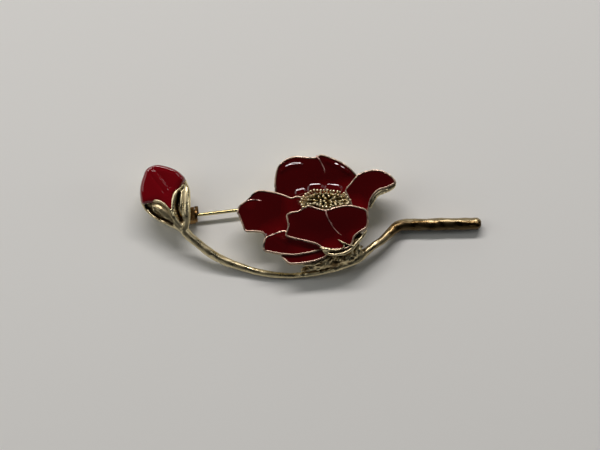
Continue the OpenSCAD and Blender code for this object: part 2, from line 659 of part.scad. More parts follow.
placed() casting();
placed() enamel_top();
placed() enamel_left();
placed() enamel_right();
placed() enamel_front();
placed() enamel_lower();
placed() enamel_bottom();
placed() enamel_bud();
placed() hinge_bracket();
placed() hinge_rivet();
placed() pin_needle();
placed() catch_housing();
placed() catch_roller();
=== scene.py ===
"""The flower brooch's looks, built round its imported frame.

The tables are in millimetres in the brooch's own plan: x along the branch, y across it, z up from the surface
it lies on. Columns are named above each table. All is moved to the frame's origin and scaled to metres when a
mesh is made.
"""

import math

import bpy
import numpy as np
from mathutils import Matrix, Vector


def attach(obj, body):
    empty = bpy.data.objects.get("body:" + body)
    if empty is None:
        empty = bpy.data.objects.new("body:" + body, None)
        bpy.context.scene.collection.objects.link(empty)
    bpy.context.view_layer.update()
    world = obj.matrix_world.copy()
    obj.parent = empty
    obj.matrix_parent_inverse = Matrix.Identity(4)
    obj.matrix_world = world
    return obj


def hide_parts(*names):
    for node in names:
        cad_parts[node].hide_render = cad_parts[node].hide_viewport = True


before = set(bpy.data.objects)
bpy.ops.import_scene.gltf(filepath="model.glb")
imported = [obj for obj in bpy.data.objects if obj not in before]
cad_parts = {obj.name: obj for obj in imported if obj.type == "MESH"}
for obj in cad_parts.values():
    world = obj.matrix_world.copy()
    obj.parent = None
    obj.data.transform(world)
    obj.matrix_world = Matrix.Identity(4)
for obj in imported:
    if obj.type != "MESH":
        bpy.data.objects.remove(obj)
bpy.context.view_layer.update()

MM = 0.001
PLAN_ORIGIN = np.array([-0.083, 0.284, 0.0])
BODY = "brooch"

# Sizes of the casting and its enamel
RIM = 0.36
RIM_CREST = 0.08
# A rim's rounded top. Columns: distance in from the outline, height in crests
RIM_PROFILE = [
    (0.0, -1.3), (0.03, -0.55), (0.1, -0.12), (0.18, 0.0), (0.27, -0.1), (0.34, -0.5), (0.37, -1.2)]
# How much painted light a petal's rings carry, under its wall and up it, over the rim's crown, then down into
# the tray: a dull pink painted reflection of the red enamel on the crown, and painted shade that blackens the
# inner side down into the tray
RIM_PAINTED_LIGHT = [0.0, 0.0, 0.3, 1.0, 1.0, 1.0, 1.15, 1.45, 1.6, 1.6, 1.0, 1.0]
RECESS = 0.45
FILL_DROP = 0.06
MENISCUS_REACH = 0.3
# The raised pads of the top petal's enamel behind the stamens. Columns: line of x and y, reach round it
SWELL_PADS = [
    ([(-2.65, 4.95), (-1.75, 5.2)], 0.55), ([(0.25, 5.72), (1.55, 5.76)], 0.9),
    ([(3.7, 5.74), (5.3, 5.58)], 0.9)]
PAD_RISE = 0.165
PAD_EDGE = 0.4
PAD_BEND = 0.2
# Soft ridges in the enamel along the top and the lower petal's rims. Columns: x, y, height
TOP_RIDGES = [
    [(-6.1, 9.3, 0.24), (-5.0, 10.0, 0.23), (-3.7, 10.5, 0.2), (-2.2, 10.6, 0.19)],
    [(3.2, 11.2, 0.2), (4.6, 10.6, 0.27), (6.2, 9.8, 0.28), (7.6, 8.9, 0.3)]]
LOWER_RIDGES = [
    [(-7.3, -4.3, 0.1), (-6.6, -4.6, 0.2), (-5.6, -5.2, 0.2), (-4.8, -5.75, 0.1)],
    [(-4.3, -5.3, 0.1), (-3.3, -5.7, 0.19), (-2.3, -5.95, 0.1)]]
RIDGE_REACH = 0.45
ENAMEL_CELL = 0.1
ENAMEL_DEPTH = 0.32
# How far under its own rim, and under a neighbour that lies over it, a petal's enamel goes on
ENAMEL_TUCK = 0.16
COVERED_TUCK = 0.22
FLOWER_BACK = 4.35
SEPAL_BACK = 4.5
VOXEL = 0.14
FUSING_STEPS = 2
# Points in each span of an outline's curve and of a bar's
OUTLINE_STEPS = 12
BAR_STEPS = 8
# A bar's rounded end: how far it bulges. Columns: share of the radius, share of the bulge
END_BULGE = 0.16
END_RINGS = [(0.93, 0.35), (0.75, 0.75), (0.4, 0.96)]

# Petals, clockwise from the face. Columns: x, y, height of the rim, height of the outer wall
TOP_PETAL = [
    (-7.5, 5.6, 6.3, 1.4), (-7.5, 7.8, 6.4, 1.3), (-6.9, 10.1, 6.6, 1.2), (-5.5, 11.55, 6.6, 1.2),
    (-3.7, 12.3, 6.6, 1.2), (-1.7, 12.25, 6.7, 1.2), (0.6, 12.1, 6.8, 1.2), (2.0, 12.6, 7.2, 1.4),
    (3.8, 12.15, 6.9, 1.3), (5.9, 11.3, 6.8, 1.2), (7.9, 9.95, 6.7, 1.2), (9.2, 8.6, 6.3, 1.2),
    (9.9, 7.2, 5.9, 1.1), (8.5, 4.7, 5.7, 1.0), (6.0, 3.6, 5.8, 1.0), (3.0, 3.6, 5.8, 1.0),
    (-0.3, 3.3, 5.8, 1.0), (-2.6, 2.7, 5.7, 1.0), (-4.8, 2.8, 5.7, 1.0), (-7.0, 3.8, 5.8, 1.1)]
LEFT_PETAL = [
    (-15.2, 0.7, 6.5, 1.2), (-14.7, 2.1, 6.5, 1.2), (-13.1, 3.3, 6.6, 1.2), (-12.0, 4.5, 6.7, 1.3),
    (-10.8, 5.2, 6.8, 1.4), (-8.4, 5.0, 6.9, 1.5), (-6.0, 4.4, 6.9, 1.6), (-4.1, 3.7, 6.8, 1.6),
    (-3.1, 4.0, 6.8, 1.6), (-1.5, 3.7, 6.5, 1.4), (-0.9, 2.3, 6.3, 1.2), (-1.5, -0.4, 6.2, 1.2),
    (-3.6, -1.5, 6.2, 1.2), (-3.9, -3.0, 6.0, 1.1), (-5.2, -4.6, 5.9, 1.1), (-7.0, -5.1, 5.95, 1.1),
    (-8.9, -5.4, 6.1, 1.2), (-9.9, -3.75, 6.25, 1.1), (-11.6, -3.45, 6.4, 1.2),
    (-13.5, -3.3, 6.4, 1.2), (-14.2, -1.8, 6.4, 1.2), (-14.9, 0.0, 6.4, 1.2)]
RIGHT_PETAL = [
    (6.9, 5.2, 6.7, 1.7), (8.0, 6.7, 6.9, 1.6), (9.4, 8.3, 7.1, 1.6), (10.8, 9.0, 7.2, 1.6),
    (12.6, 9.4, 7.2, 1.6), (14.5, 9.2, 7.2, 1.7), (16.2, 8.3, 7.2, 1.8), (17.3, 6.8, 7.2, 2.0),
    (15.7, 5.7, 7.1, 2.3), (13.8, 5.1, 6.95, 2.3), (12.7, 4.0, 6.75, 2.2), (12.1, 2.7, 6.55, 2.0),
    (11.8, 1.2, 6.35, 1.7), (10.8, -0.4, 6.2, 1.3), (8.7, 0.2, 6.2, 1.2), (8.0, 2.4, 6.5, 1.5),
    (7.3, 4.0, 6.6, 1.6)]
FRONT_PETAL = [
    (-5.1, -0.4, 8.1, 3.0), (-4.2, 0.3, 8.4, 3.4), (-2.5, 0.6, 8.6, 3.6), (-0.7, 1.6, 8.8, 3.8),
    (1.2, 1.1, 8.8, 3.8), (3.0, 0.7, 8.8, 3.8), (5.1, 1.3, 8.8, 3.8), (7.3, 1.7, 8.7, 3.7),
    (9.6, 1.4, 8.5, 3.5), (11.3, 0.7, 8.3, 3.3), (11.7, -1.1, 8.1, 3.0), (11.4, -2.8, 7.9, 2.8),
    (10.0, -3.8, 7.8, 2.7), (8.9, -4.7, 7.7, 2.6), (8.4, -6.2, 7.5, 2.4), (7.1, -7.2, 7.4, 2.3),
    (4.6, -7.4, 7.4, 2.3), (2.4, -7.1, 7.4, 2.3), (0.8, -6.2, 7.5, 2.4), (-1.7, -5.6, 7.6, 2.5),
    (-4.1, -5.0, 7.7, 2.7), (-5.3, -4.4, 7.8, 2.8), (-4.8, -2.6, 8.0, 3.0)]
LOWER_PETAL = [
    (-9.3, -4.6, 6.6, 1.5), (-7.6, -3.8, 6.7, 1.6), (-5.7, -3.2, 6.7, 1.7), (-4.1, -3.6, 7.0, 2.0),
    (-1.3, -4.4, 7.05, 2.0), (1.3, -5.0, 7.0, 2.0), (3.5, -6.4, 6.7, 1.7), (2.3, -7.1, 6.3, 1.3),
    (-0.7, -7.9, 6.3, 1.4), (-3.5, -8.3, 6.3, 1.4), (-6.2, -8.1, 6.3, 1.3), (-8.4, -7.7, 6.35, 1.3),
    (-9.7, -7.3, 6.45, 1.3), (-9.8, -5.8, 6.6, 1.4)]
BOTTOM_PETAL = [
    (-5.9, -7.0, 6.0, 1.3), (-3.5, -7.0, 6.0, 1.3), (-1.0, -6.7, 6.0, 1.3), (1.6, -5.9, 6.0, 1.3),
    (3.4, -6.6, 6.0, 1.3), (3.3, -8.3, 5.9, 1.3), (1.8, -9.1, 5.8, 1.2), (-0.3, -9.7, 5.8, 1.2),
    (-2.7, -10.0, 5.8, 1.2), (-4.5, -10.0, 5.8, 1.2), (-5.4, -9.2, 5.8, 1.2), (-6.1, -8.3, 5.7, 1.1)]
LEFT_SEPAL = [
    (-34.3, 2.0, 6.2, 1.4), (-33.5, 2.7, 6.6, 1.7), (-32.3, 2.95, 6.9, 1.9), (-31.0, 2.8, 7.1, 2.0),
    (-29.8, 2.1, 7.2, 2.2), (-28.95, 1.2, 7.2, 2.3), (-28.2, -0.3, 6.9, 2.2), (-27.0, -2.1, 6.2, 1.8),
    (-28.4, -1.95, 5.9, 1.4), (-29.6, -1.15, 5.7, 1.2), (-31.2, -0.35, 5.5, 1.1), (-32.8, 0.7, 5.4, 1.1),
    (-33.9, 1.4, 5.6, 1.2)]
RIGHT_SEPAL = [
    (-26.3, -2.4, 6.2, 1.8), (-27.7, -0.9, 6.7, 2.2), (-28.5, 0.7, 7.0, 2.4), (-28.7, 2.0, 7.2, 2.4),
    (-28.65, 3.4, 7.2, 2.4), (-28.3, 4.5, 7.1, 2.2), (-27.3, 5.4, 7.0, 2.0), (-26.0, 6.5, 6.7, 1.8),
    (-25.9, 5.0, 6.5, 1.4), (-26.0, 3.0, 6.4, 1.2), (-26.0, 0.4, 6.2, 1.2)]
# Middles of the petals and sepals: x, y, height of the enamel or of the hollow there
TOP_MIDDLE = (0.5, 8.0, 5.6)
LEFT_MIDDLE = (-9.6, 0.4, 5.9)
RIGHT_MIDDLE = (11.0, 5.6, 6.1)
FRONT_MIDDLE = (3.4, -3.2, 7.2)
LOWER_MIDDLE = (-4.9, -6.0, 6.0)
BOTTOM_MIDDLE = (-1.7, -8.7, 5.5)
LEFT_SEPAL_MIDDLE = (-32.3, 1.45, 6.0)
RIGHT_SEPAL_MIDDLE = (-27.3, 2.6, 6.2)

# A sepal's rounded edge. Columns: distance in from the outline, height
SEPAL_PROFILE = [(0.0, -0.14), (0.05, -0.04), (0.18, 0.0), (0.3, -0.05), (0.38, -0.2), (0.42, -0.42)]
# Ridges in the sepals' hollows. Columns: x, y, height, radius
SEPAL_VEINS = [
    [(-32.5, 2.15, 5.75, 0.45), (-31.6, 1.9, 5.8, 0.8), (-30.6, 1.3, 5.8, 0.95), (-29.6, 0.45, 5.75, 0.88),
     (-28.6, -0.6, 5.7, 0.7), (-27.5, -1.8, 5.5, 0.55)],
    [(-32.6, 1.45, 6.0, 0.07), (-32.0, 0.85, 6.12, 0.13), (-31.3, 0.1, 6.12, 0.14), (-30.2, -0.5, 5.95, 0.14),
     (-28.7, -1.5, 5.8, 0.2)],
    [(-30.5, 0.1, 5.9, 0.12), (-29.4, -0.5, 6.1, 0.22), (-28.5, -1.25, 6.15, 0.26), (-27.6, -2.1, 5.85, 0.28),
     (-26.6, -2.9, 5.3, 0.4)],
    [(-27.75, 0.9, 6.3, 0.07), (-27.4, -0.4, 6.2, 0.14), (-26.9, -1.6, 5.9, 0.2), (-26.3, -2.8, 5.4, 0.35)],
    [(-26.5, 5.2, 6.5, 0.16), (-26.55, 4.0, 6.75, 0.26), (-26.55, 2.5, 6.7, 0.26), (-26.5, 0.8, 6.3, 0.22),
     (-26.3, -1.0, 5.9, 0.24), (-26.0, -2.6, 5.3, 0.35)]]
# The sepals' rolled upper edges. Columns: x, y, height, radius
SEPAL_ROLLS = [
    [(-34.4, 2.0, 6.35, 0.14), (-33.4, 2.68, 6.65, 0.22), (-32.3, 2.95, 6.95, 0.25), (-31.0, 2.8, 7.15, 0.25),
     (-29.9, 2.05, 7.25, 0.22), (-29.1, 1.2, 7.2, 0.2), (-28.4, -0.2, 6.85, 0.22)],
    [(-26.3, 6.35, 6.7, 0.2), (-27.15, 5.3, 6.85, 0.42), (-27.75, 4.4, 6.85, 0.62), (-27.95, 3.6, 6.8, 0.66),
     (-28.1, 2.7, 6.8, 0.56), (-28.28, 1.7, 6.8, 0.42), (-28.28, 0.6, 6.7, 0.34), (-28.0, -0.4, 6.5, 0.32),
     (-27.4, -1.4, 6.2, 0.32), (-26.5, -2.5, 5.8, 0.34)]]
# The hollows beside the sepals' ridges, dug in and painted black as shade. Columns: x, y
SEPAL_HOLLOWS = [
    [(-33.8, 2.1), (-33.1, 1.6), (-32.4, 0.7), (-31.4, -0.15), (-29.8, -0.9), (-28.4, -1.75)],
    [(-27.0, 4.6), (-27.35, 3.4), (-27.55, 2.4), (-27.4, 1.3), (-27.0, 0.3), (-26.3, -1.2)]]
# The dull blade of the left sepal. Columns: x, y
SEPAL_BLADE = [(-31.9, 2.0), (-30.7, 1.2), (-29.6, 0.3), (-28.7, -0.7)]
BLADE_REACH = 0.75
BLADE_TARNISH = 0.55
HOLLOW_REACH = 0.3
HOLLOW_DEPTH = 0.3
# The convex wall of the cup beside the right sepal. Columns: x, y, height, radius
CUP_WALL = [
    (-26.0, 7.0, 5.3, 0.6), (-25.6, 5.4, 5.6, 0.8), (-25.5, 3.6, 5.7, 0.82), (-25.5, 1.4, 5.6, 0.8),
    (-25.6, -0.8, 5.2, 0.78), (-25.9, -2.4, 4.8, 0.8)]

# The bud's cup. Columns: x, y, height of its widest line
BUD_CUP = [
    (-35.04, 4.2, 4.8), (-34.5, 7.7, 4.9), (-33.4, 9.9, 5.2), (-31.7, 10.6, 5.2), (-29.7, 10.3, 5.2),
    (-27.6, 9.5, 5.2), (-26.1, 8.4, 4.9), (-25.2, 6.6, 4.7), (-24.8, 4.1, 4.6), (-24.7, 1.4, 4.6),
    (-24.8, -1.3, 4.6), (-25.5, -2.7, 4.6), (-26.6, -3.15, 4.6), (-27.6, -2.65, 4.6), (-29.1, -1.9, 4.6),
    (-30.6, -1.2, 4.6), (-32.0, -0.4, 4.6), (-33.2, 0.55, 4.6), (-34.2, 1.6, 4.6), (-34.85, 2.9, 4.7)]
BUD_MIDDLE = (-29.9, 4.2)
BUD_CUP_TOP = 5.5
BACK = 3.6
# The bud's enamel. Columns: x, y, height of its edge
BUD_ENAMEL = [
    (-33.7, 9.6, 5.3), (-31.8, 10.45, 5.3), (-29.8, 10.2, 5.3), (-27.8, 9.5, 5.4), (-26.4, 8.5, 6.1),
    (-25.8, 7.4, 6.6), (-26.9, 5.4, 6.9), (-28.0, 4.4, 7.1), (-28.4, 3.2, 7.2), (-28.6, 1.4, 7.1),
    (-29.8, 1.9, 7.0), (-31.3, 2.6, 6.8), (-33.1, 2.5, 6.8), (-34.5, 2.5, 6.4), (-35.02, 4.2, 5.6),
    (-35.0, 6.0, 5.3), (-34.5, 7.9, 5.3)]
BUD_ENAMEL_MIDDLE = (-30.7, 6.0)
BUD_TOP = 8.55
# The bud's top falls from here towards the sepals: y, fall in each millimetre
BUD_HIGH = 8.8
BUD_TILT = 0.19
# How far the enamel goes down into the cup, its rings from edge to middle, and the smoothing of its shoulder
BUD_FOOT = 0.35
BUD_SHARES = [1.0, 0.995, 0.985, 0.97, 0.95, *np.linspace(0.92, 0.04, 30)]
HELD_SMOOTHING = 150
# Where one petal of the bud folds over the next. Columns: line of x and y, height, reach on its low side
BUD_FOLDS = [
    ([(-32.2, 9.3), (-30.9, 8.1), (-29.6, 6.6), (-28.6, 4.7)], -0.34, 1.3),
    ([(-32.9, 8.4), (-31.6, 6.6), (-30.2, 4.9), (-29.3, 3.6)], -0.16, 0.8)]
FOLD_LIP = 0.42

# The branch. Columns: x, y, height of its axis, radius
BRANCH = [
    (-27.4, -0.9, 4.9, 0.9), (-25.9, -2.8, 4.6, 0.95), (-24.6, -4.15, 4.1, 0.94), (-22.7, -5.6, 3.4, 0.93),
    (-20.8, -6.95, 2.7, 0.93), (-18.2, -8.35, 1.9, 0.91), (-15.0, -9.5, 1.3, 0.8),
    (-11.3, -10.57, 0.95, 0.72), (-7.4, -11.25, 0.8, 0.66), (-3.5, -11.4, 0.74, 0.58),
    (0.6, -11.1, 1.4, 0.56), (4.4, -10.4, 2.3, 0.62), (7.3, -9.5, 2.9, 0.76), (9.6, -8.4, 3.15, 0.82),
    (11.3, -6.95, 3.1, 0.8), (12.9, -5.55, 2.9, 0.78), (14.5, -4.45, 2.6, 0.86), (15.9, -3.0, 2.2, 0.98),
    (17.1, -1.75, 1.8, 1.12), (18.6, -0.95, 1.5, 1.2), (21.2, -0.85, 1.42, 1.24), (24.3, -0.85, 1.42, 1.27),
    (27.7, -0.78, 1.42, 1.29), (31.4, -0.72, 1.42, 1.3), (33.9, -0.7, 1.4, 1.27),
    (34.4, -0.7, 1.38, 1.12), (34.72, -0.7, 1.36, 0.85)]
BARK_RELIEF = 0.09
# How brown the branch is. Columns: x, amount
BRANCH_BROWN = [(-30.0, 0.15), (8.0, 0.2), (13.0, 0.6), (18.0, 1.0)]
# The cut twig, with painted light that makes it beige along its far side and painted shade that makes it
# nearly black on the near side of a line along it
TWIG_START = 16.0
TWIG_SHADE_EDGE = -0.35
TWIG_PAINTED_LIGHT = 0.28
TWIG_PAINTED_SHADE = 0.9
KNOT_TARNISH = 0.9
BROWN_TOP = 5.6
BROWN_FADE = 1.5

# The knot under the flower, its arms and its lips. Columns: x, y, height, radius
KNOT = [
    (-1.4, -10.35, 2.2, 0.28), (-0.4, -10.0, 2.7, 0.62), (1.3, -9.65, 3.0, 0.98), (3.3, -9.15, 3.4, 1.1),
    (5.9, -8.6, 3.6, 1.15), (8.2, -7.8, 3.6, 1.15), (10.1, -6.7, 3.5, 0.9)]
KNOT_ARMS = [
    [(1.1, -9.7, 3.0, 0.9), (0.8, -5.6, 3.9, 0.8)], [(4.7, -9.3, 3.6, 1.1), (4.6, -4.7, 4.7, 1.1)],
    [(8.1, -7.9, 3.7, 1.05), (7.3, -4.2, 5.0, 1.2)], [(9.1, -6.9, 3.6, 0.8), (9.0, -3.7, 5.2, 0.7)]]
FRONT_LIP = [
    (2.2, -7.05, 7.0, 0.2), (3.0, -7.95, 6.85, 0.28), (4.4, -8.25, 6.8, 0.3), (5.9, -8.2, 6.8, 0.3),
    (6.9, -7.9, 6.8, 0.32), (8.2, -7.1, 6.85, 0.34), (9.4, -5.7, 6.95, 0.34), (10.4, -4.6, 7.05, 0.32),
    (11.2, -3.4, 7.2, 0.26)]
LIP_FLOOR = [
    (2.5, -6.8, 6.2, 0.4), (3.4, -7.4, 6.15, 0.6), (4.6, -7.6, 6.1, 0.65), (6.0, -7.5, 6.1, 0.65),
    (7.2, -7.1, 6.1, 0.65), (8.5, -6.1, 6.2, 0.65), (9.3, -5.0, 6.3, 0.6), (10.2, -4.0, 6.4, 0.55)]
RIGHT_LIP = [
    (17.2, 6.9, 6.6, 0.2), (16.7, 6.1, 6.2, 0.5), (15.3, 5.4, 6.1, 0.62), (14.0, 4.95, 6.1, 0.66),
    (13.0, 4.1, 6.0, 0.6), (12.4, 3.0, 5.9, 0.5), (12.0, 1.9, 5.7, 0.38)]
KNOT_BEAD_COUNT = 36
KNOT_FOLD_COUNT = 15
KNOT_RELIEF = 0.16
SKIN_RELIEF = 0.012
# The edge of the leaf under the bottom petal. Columns: x, y, height, radius
LEAF_EDGE = [
    (-2.1, -9.75, 4.95, 0.26), (-0.1, -9.9, 4.9, 0.36), (1.9, -9.3, 4.9, 0.36), (3.6, -8.5, 5.1, 0.34)]
# The dark pocket in the front petal's curl, where there is no enamel. Columns: x, y
CURL_POCKET = [
    (5.9, -5.6), (7.4, -6.2), (8.6, -6.5), (8.3, -7.3), (6.6, -7.6), (5.6, -7.5), (6.4, -7.05), (6.7, -6.6),
    (6.35, -6.05)]
# The rolled edges of the curl. Columns: x, y, height, radius
CURL_EDGES = [
    [(5.4, -5.2, 7.55, 0.1), (6.4, -5.85, 7.66, 0.13), (7.4, -6.3, 7.66, 0.14), (8.4, -6.55, 7.5, 0.16)],
    [(5.7, -5.5, 7.55, 0.08), (6.35, -6.05, 7.6, 0.13), (6.7, -6.6, 7.55, 0.14), (6.4, -7.05, 7.45, 0.14),
     (5.5, -7.3, 7.3, 0.12)],
    [(1.8, -6.75, 7.28, 0.15), (2.4, -7.1, 7.22, 0.38), (3.1, -7.26, 7.2, 0.42), (3.8, -7.33, 7.25, 0.34),
     (4.6, -7.4, 7.3, 0.22), (5.6, -7.42, 7.33, 0.12)]]

# Metal lines in the enamel. Columns: x, y, height above the enamel
FRONT_CREASE = [
    (3.0, 0.5, 0.2), (3.1, -0.3, 0.19), (3.6, -1.4, 0.18), (4.4, -2.7, 0.17), (5.3, -3.7, 0.16),
    (6.1, -4.3, 0.12)]
TOP_CREASE = [(1.1, 12.3, 0.2), (1.7, 11.5, 0.24), (2.3, 10.5, 0.22), (2.7, 9.5, 0.15), (2.8, 8.9, 0.04)]
LEFT_CREASE = [(-12.9, 3.1, 0.2), (-11.6, 3.25, 0.2), (-10.4, 3.1, 0.1)]
CREASE_RADIUS = 0.13

# The ring of the outer stamens' beads, clockwise from the left. Columns: x, y, height
STAMEN_RING = [
    (-2.1, 3.1, 7.8), (-1.5, 3.9, 7.9), (-0.6, 4.4, 8.0), (0.3, 4.85, 8.1), (1.4, 4.9, 8.1), (2.4, 4.85, 8.1),
    (3.6, 4.85, 8.1), (4.9, 4.7, 8.1), (6.2, 4.5, 8.0), (7.3, 3.9, 7.9), (7.9, 3.0, 7.9), (7.6, 2.2, 8.2),
    (6.2, 1.9, 8.5), (4.9, 1.6, 8.6), (3.5, 1.2, 8.6), (2.2, 1.45, 8.6), (0.3, 2.0, 8.6), (-0.7, 1.5, 8.6),
    (-1.7, 1.1, 8.4), (-2.1, 2.0, 8.0)]
# Rings of stamens. Columns: count, share of the ring's size, drop of the beads, share at their feet
STAMEN_RINGS = [(36, 1.0, 0.0, 0.6), (17, 0.73, 0.6, 0.42), (10, 0.46, 0.9, 0.2), (4, 0.2, 1.1, 0.05)]
STAMEN_MIDDLE = (2.9, 3.1)
STAMEN_FOOT = 6.1
STALK_RADIUS = 0.16
BEAD_RADIUS = 0.26
BEAD_TOP = 8.86
# The ground that the stamens stand on. Columns: x, y
STAMEN_GROUND = [
    (-1.7, 2.3), (-1.5, 3.6), (0.4, 4.5), (3.0, 4.7), (5.8, 4.45), (7.1, 4.1), (7.4, 2.6), (6.2, 0.2),
    (3.0, -0.3), (-1.0, 0.2)]
GROUND_TOP = 6.3
GROUND_BOTTOM = 4.6
# Round pads on the back. Columns: middle, radius, radius at the top, height of the top
BACK_PADS = [((1.2, -0.4), 7.2, 8.2, 4.9), ((9.4, 5.1), 2.5, 2.9, 5.05)]
# Constants of the noise, which is the same in every run
NOISE_KEY = np.array([127.1, 311.7, 74.7])
NOISE_STRETCH = 43758.5453
NOISE_SEED_STEP = 17.31

scene = bpy.context.scene


# Curves and distances, all in plan millimetres


def spline(rows, steps, closed=False):
    """A smooth curve through a table's rows."""
    rows = np.array(rows, float)
    n = len(rows)

    def row(k):
        return rows[k % n] if closed else rows[min(max(k, 0), n - 1)]

    t = np.linspace(0, 1, steps, endpoint=False)[:, None]
    spans = []
    for k in range(n if closed else n - 1):
        a, b, c, d = row(k - 1), row(k), row(k + 1), row(k + 2)
        square, cube = 2 * a - 5 * b + 4 * c - d, 3 * b - a - 3 * c + d
        spans.append(0.5 * (2 * b + (c - a) * t + square * t**2 + cube * t**3))
    if not closed:
        spans.append(rows[-1:])
    return np.vstack(spans)


def even(curve, spacing, closed=False):
    """The same curve with its points a constant distance apart."""
    loop = np.vstack([curve, curve[:1]]) if closed else curve
    along = np.concatenate([[0], np.cumsum(np.linalg.norm(np.diff(loop[:, :3], axis=0), axis=1))])
    count = max(int(round(along[-1] / spacing)), 3)
    places = np.linspace(0, along[-1], count, endpoint=not closed)
    return np.column_stack([np.interp(places, along, loop[:, c]) for c in range(loop.shape[1])])


def outline(rows, spacing=0.15):
    return even(spline(rows, OUTLINE_STEPS, True), spacing, True)


def flat_outline(rows):
    return outline([(x, y, 0.0) for x, y in rows])


def inset(curve, distance):
    """Points of a clockwise curve moved inwards in plan. distance may be one number or one for each point."""
    way = np.roll(curve[:, :2], -2, axis=0) - np.roll(curve[:, :2], 2, axis=0)
    way /= np.linalg.norm(way, axis=1)[:, None]
    inward = np.column_stack([way[:, 1], -way[:, 0]])
    return curve[:, :2] + inward * np.broadcast_to(distance, len(curve))[:, None]


def full_turn(count):
    return np.linspace(0, 2 * np.pi, count, endpoint=False)


def shrunk(ring, middle, share):
    return np.array(middle[:2]) + share * (ring - np.array(middle[:2]))


def lifted(ring, heights):
    return np.column_stack([ring, np.broadcast_to(heights, len(ring))])


def distance_to(points, line, closed=False):
    """Distance in plan from each point to a line of points."""
    line = np.array(line)[:, :2]
    ends = np.roll(line, -1, axis=0) if closed else line[1:]
    starts = line if closed else line[:-1]
    best = np.full(len(points), np.inf)
    for a, b in zip(starts, ends):
        way = b - a
        share = np.clip((points - a) @ way / max(way @ way, 1e-12), 0, 1)
        best = np.minimum(best, np.linalg.norm(points - a - share[:, None] * way, axis=1))
    return best


def inside(points, polygon):
    """True for each point that lies inside a closed polygon in plan."""
    x, y = points[:, 0], points[:, 1]
    hit = np.zeros(len(points), bool)
    for a, b in zip(polygon, np.roll(polygon, -1, axis=0)):
        crosses = (a[1] > y) != (b[1] > y)
        if a[1] != b[1]:
            hit ^= crosses & (x < (b[0] - a[0]) * (y - a[1]) / (b[1] - a[1]) + a[0])
    return hit


def depth_inside(points, polygon):
    """Distance from the polygon's edge, positive inside it and negative outside."""
    far = distance_to(points, polygon, True)
    return np.where(inside(points, polygon), far, -far)


def value_noise(points, size, seed):
    """Smooth noise from -1 to 1 whose lumps are about size across."""
    cells = points / size + seed * NOISE_SEED_STEP
    low = np.floor(cells)
    t = cells - low
    t = t * t * (3 - 2 * t)
    total = np.zeros(len(points))
    dims = points.shape[1]
    for corner in range(2**dims):
        bits = np.array([(corner >> d) & 1 for d in range(dims)])
        mix = np.prod(np.where(bits, t, 1 - t), axis=1)
        key = (low + bits) @ NOISE_KEY[:dims]
        total += mix * ((np.sin(key) * NOISE_STRETCH) % 1.0)
    return 2 * total - 1


def fractal(points, size, seed):
    """Three layers of noise, each half as large as the one before."""
    total, weight = np.zeros(len(points)), 0.0
    for k in range(3):
        total += value_noise(points, size / 2**k, seed + k) / 2**k
        weight += 1 / 2**k
    return total / weight


def scatter(n):
    """A number from 0 to 1 that looks random and is always the same for the same n."""
    wave = math.sin(math.radians(n * 128.7)) * 43.7
    return wave - math.floor(wave)


def jitter(n, size):
    return size * (scatter(n) - 0.5)


# Meshes as (points, faces) pairs


def loft(rings, start, end):
    """A closed skin through rings of points, with a fan to a point at each end."""
    n, m = len(rings[0]), len(rings)
    i = np.arange(n)
    faces = []
    for k in range(m - 1):
        a, b = k * n + i, k * n + (i + 1) % n
        faces += np.column_stack([a, b, b + n, a + n]).tolist()
    last_ring = (m - 1) * n
    faces += [[m * n, (k + 1) % n, k] for k in range(n)]
    faces += [[m * n + 1, last_ring + k, last_ring + (k + 1) % n] for k in range(n)]
    return np.vstack([*rings, start, end]), faces


def joined(parts):
    """All parts as one (points, faces) pair."""
    points, faces, base = [], [], 0
    for p, f in parts:
        points.append(p)
        faces += [[v + base for v in face] for face in f]
        base += len(p)
    return np.vstack(points), faces


def sweep(rows, sides, spacing, relief=None):
    """A bar with rounded ends along a table's curve, whose radius is the last column.

    relief(turn, along) scales the radius.
    """
    curve = even(spline(rows, BAR_STEPS), spacing)
    way = np.gradient(curve[:, :3], axis=0)
    way /= np.linalg.norm(way, axis=1)[:, None]
    side = np.column_stack([way[:, 1], -way[:, 0], np.zeros(len(way))])
    side /= np.linalg.norm(side, axis=1)[:, None]
    up = np.cross(side, way)
    turns = full_turn(sides)
    out = np.cos(turns)[None, :, None] * side[:, None] + np.sin(turns)[None, :, None] * up[:, None]
    radius = np.repeat(curve[:, 3][:, None], sides, axis=1)
    if relief:
        along, turn = np.meshgrid(spacing * np.arange(len(curve)), turns, indexing="ij")
        radius = radius * relief(turn, along)
    rings = list(curve[:, None, :3] + radius[:, :, None] * out)
    for share, reach in END_RINGS:
        for at, sign in ((0, -1), (-1, 1)):
            ring = curve[at, :3] + share * radius[at][:, None] * out[at] + sign * END_BULGE * reach * way[at]
            rings = [ring] + rings if at == 0 else rings + [ring]
    return loft(rings, rings[0].mean(axis=0), rings[-1].mean(axis=0))


def ball(place, radius, sides=10, bands=7):
    x, y, z = place
    turns = full_turn(sides)
    rings = []
    for k in range(1, bands):
        tilt = math.pi * k / bands
        wide = radius * math.sin(tilt)
        ring = np.column_stack([x + wide * np.cos(turns), y + wide * np.sin(turns)])
        rings.append(lifted(ring, z - radius * math.cos(tilt)))
    return loft(rings, (x, y, z - radius), (x, y, z + radius))


def rod(foot, top, foot_radius, top_radius, sides=8):
    """A straight bar that tapers from its foot to its top."""
    foot, top = np.array(foot, float), np.array(top, float)
    way = (top - foot) / np.linalg.norm(top - foot)
    side = np.cross(way, [0.0, 0.0, 1.0]) if abs(way[2]) < 0.99 else np.array([1.0, 0.0, 0.0])
    side /= np.linalg.norm(side)
    up = np.cross(side, way)
    turns = full_turn(sides)[:, None]
    out = np.cos(turns) * side + np.sin(turns) * up
    return loft([foot + foot_radius * out, top + top_radius * out], foot, top)


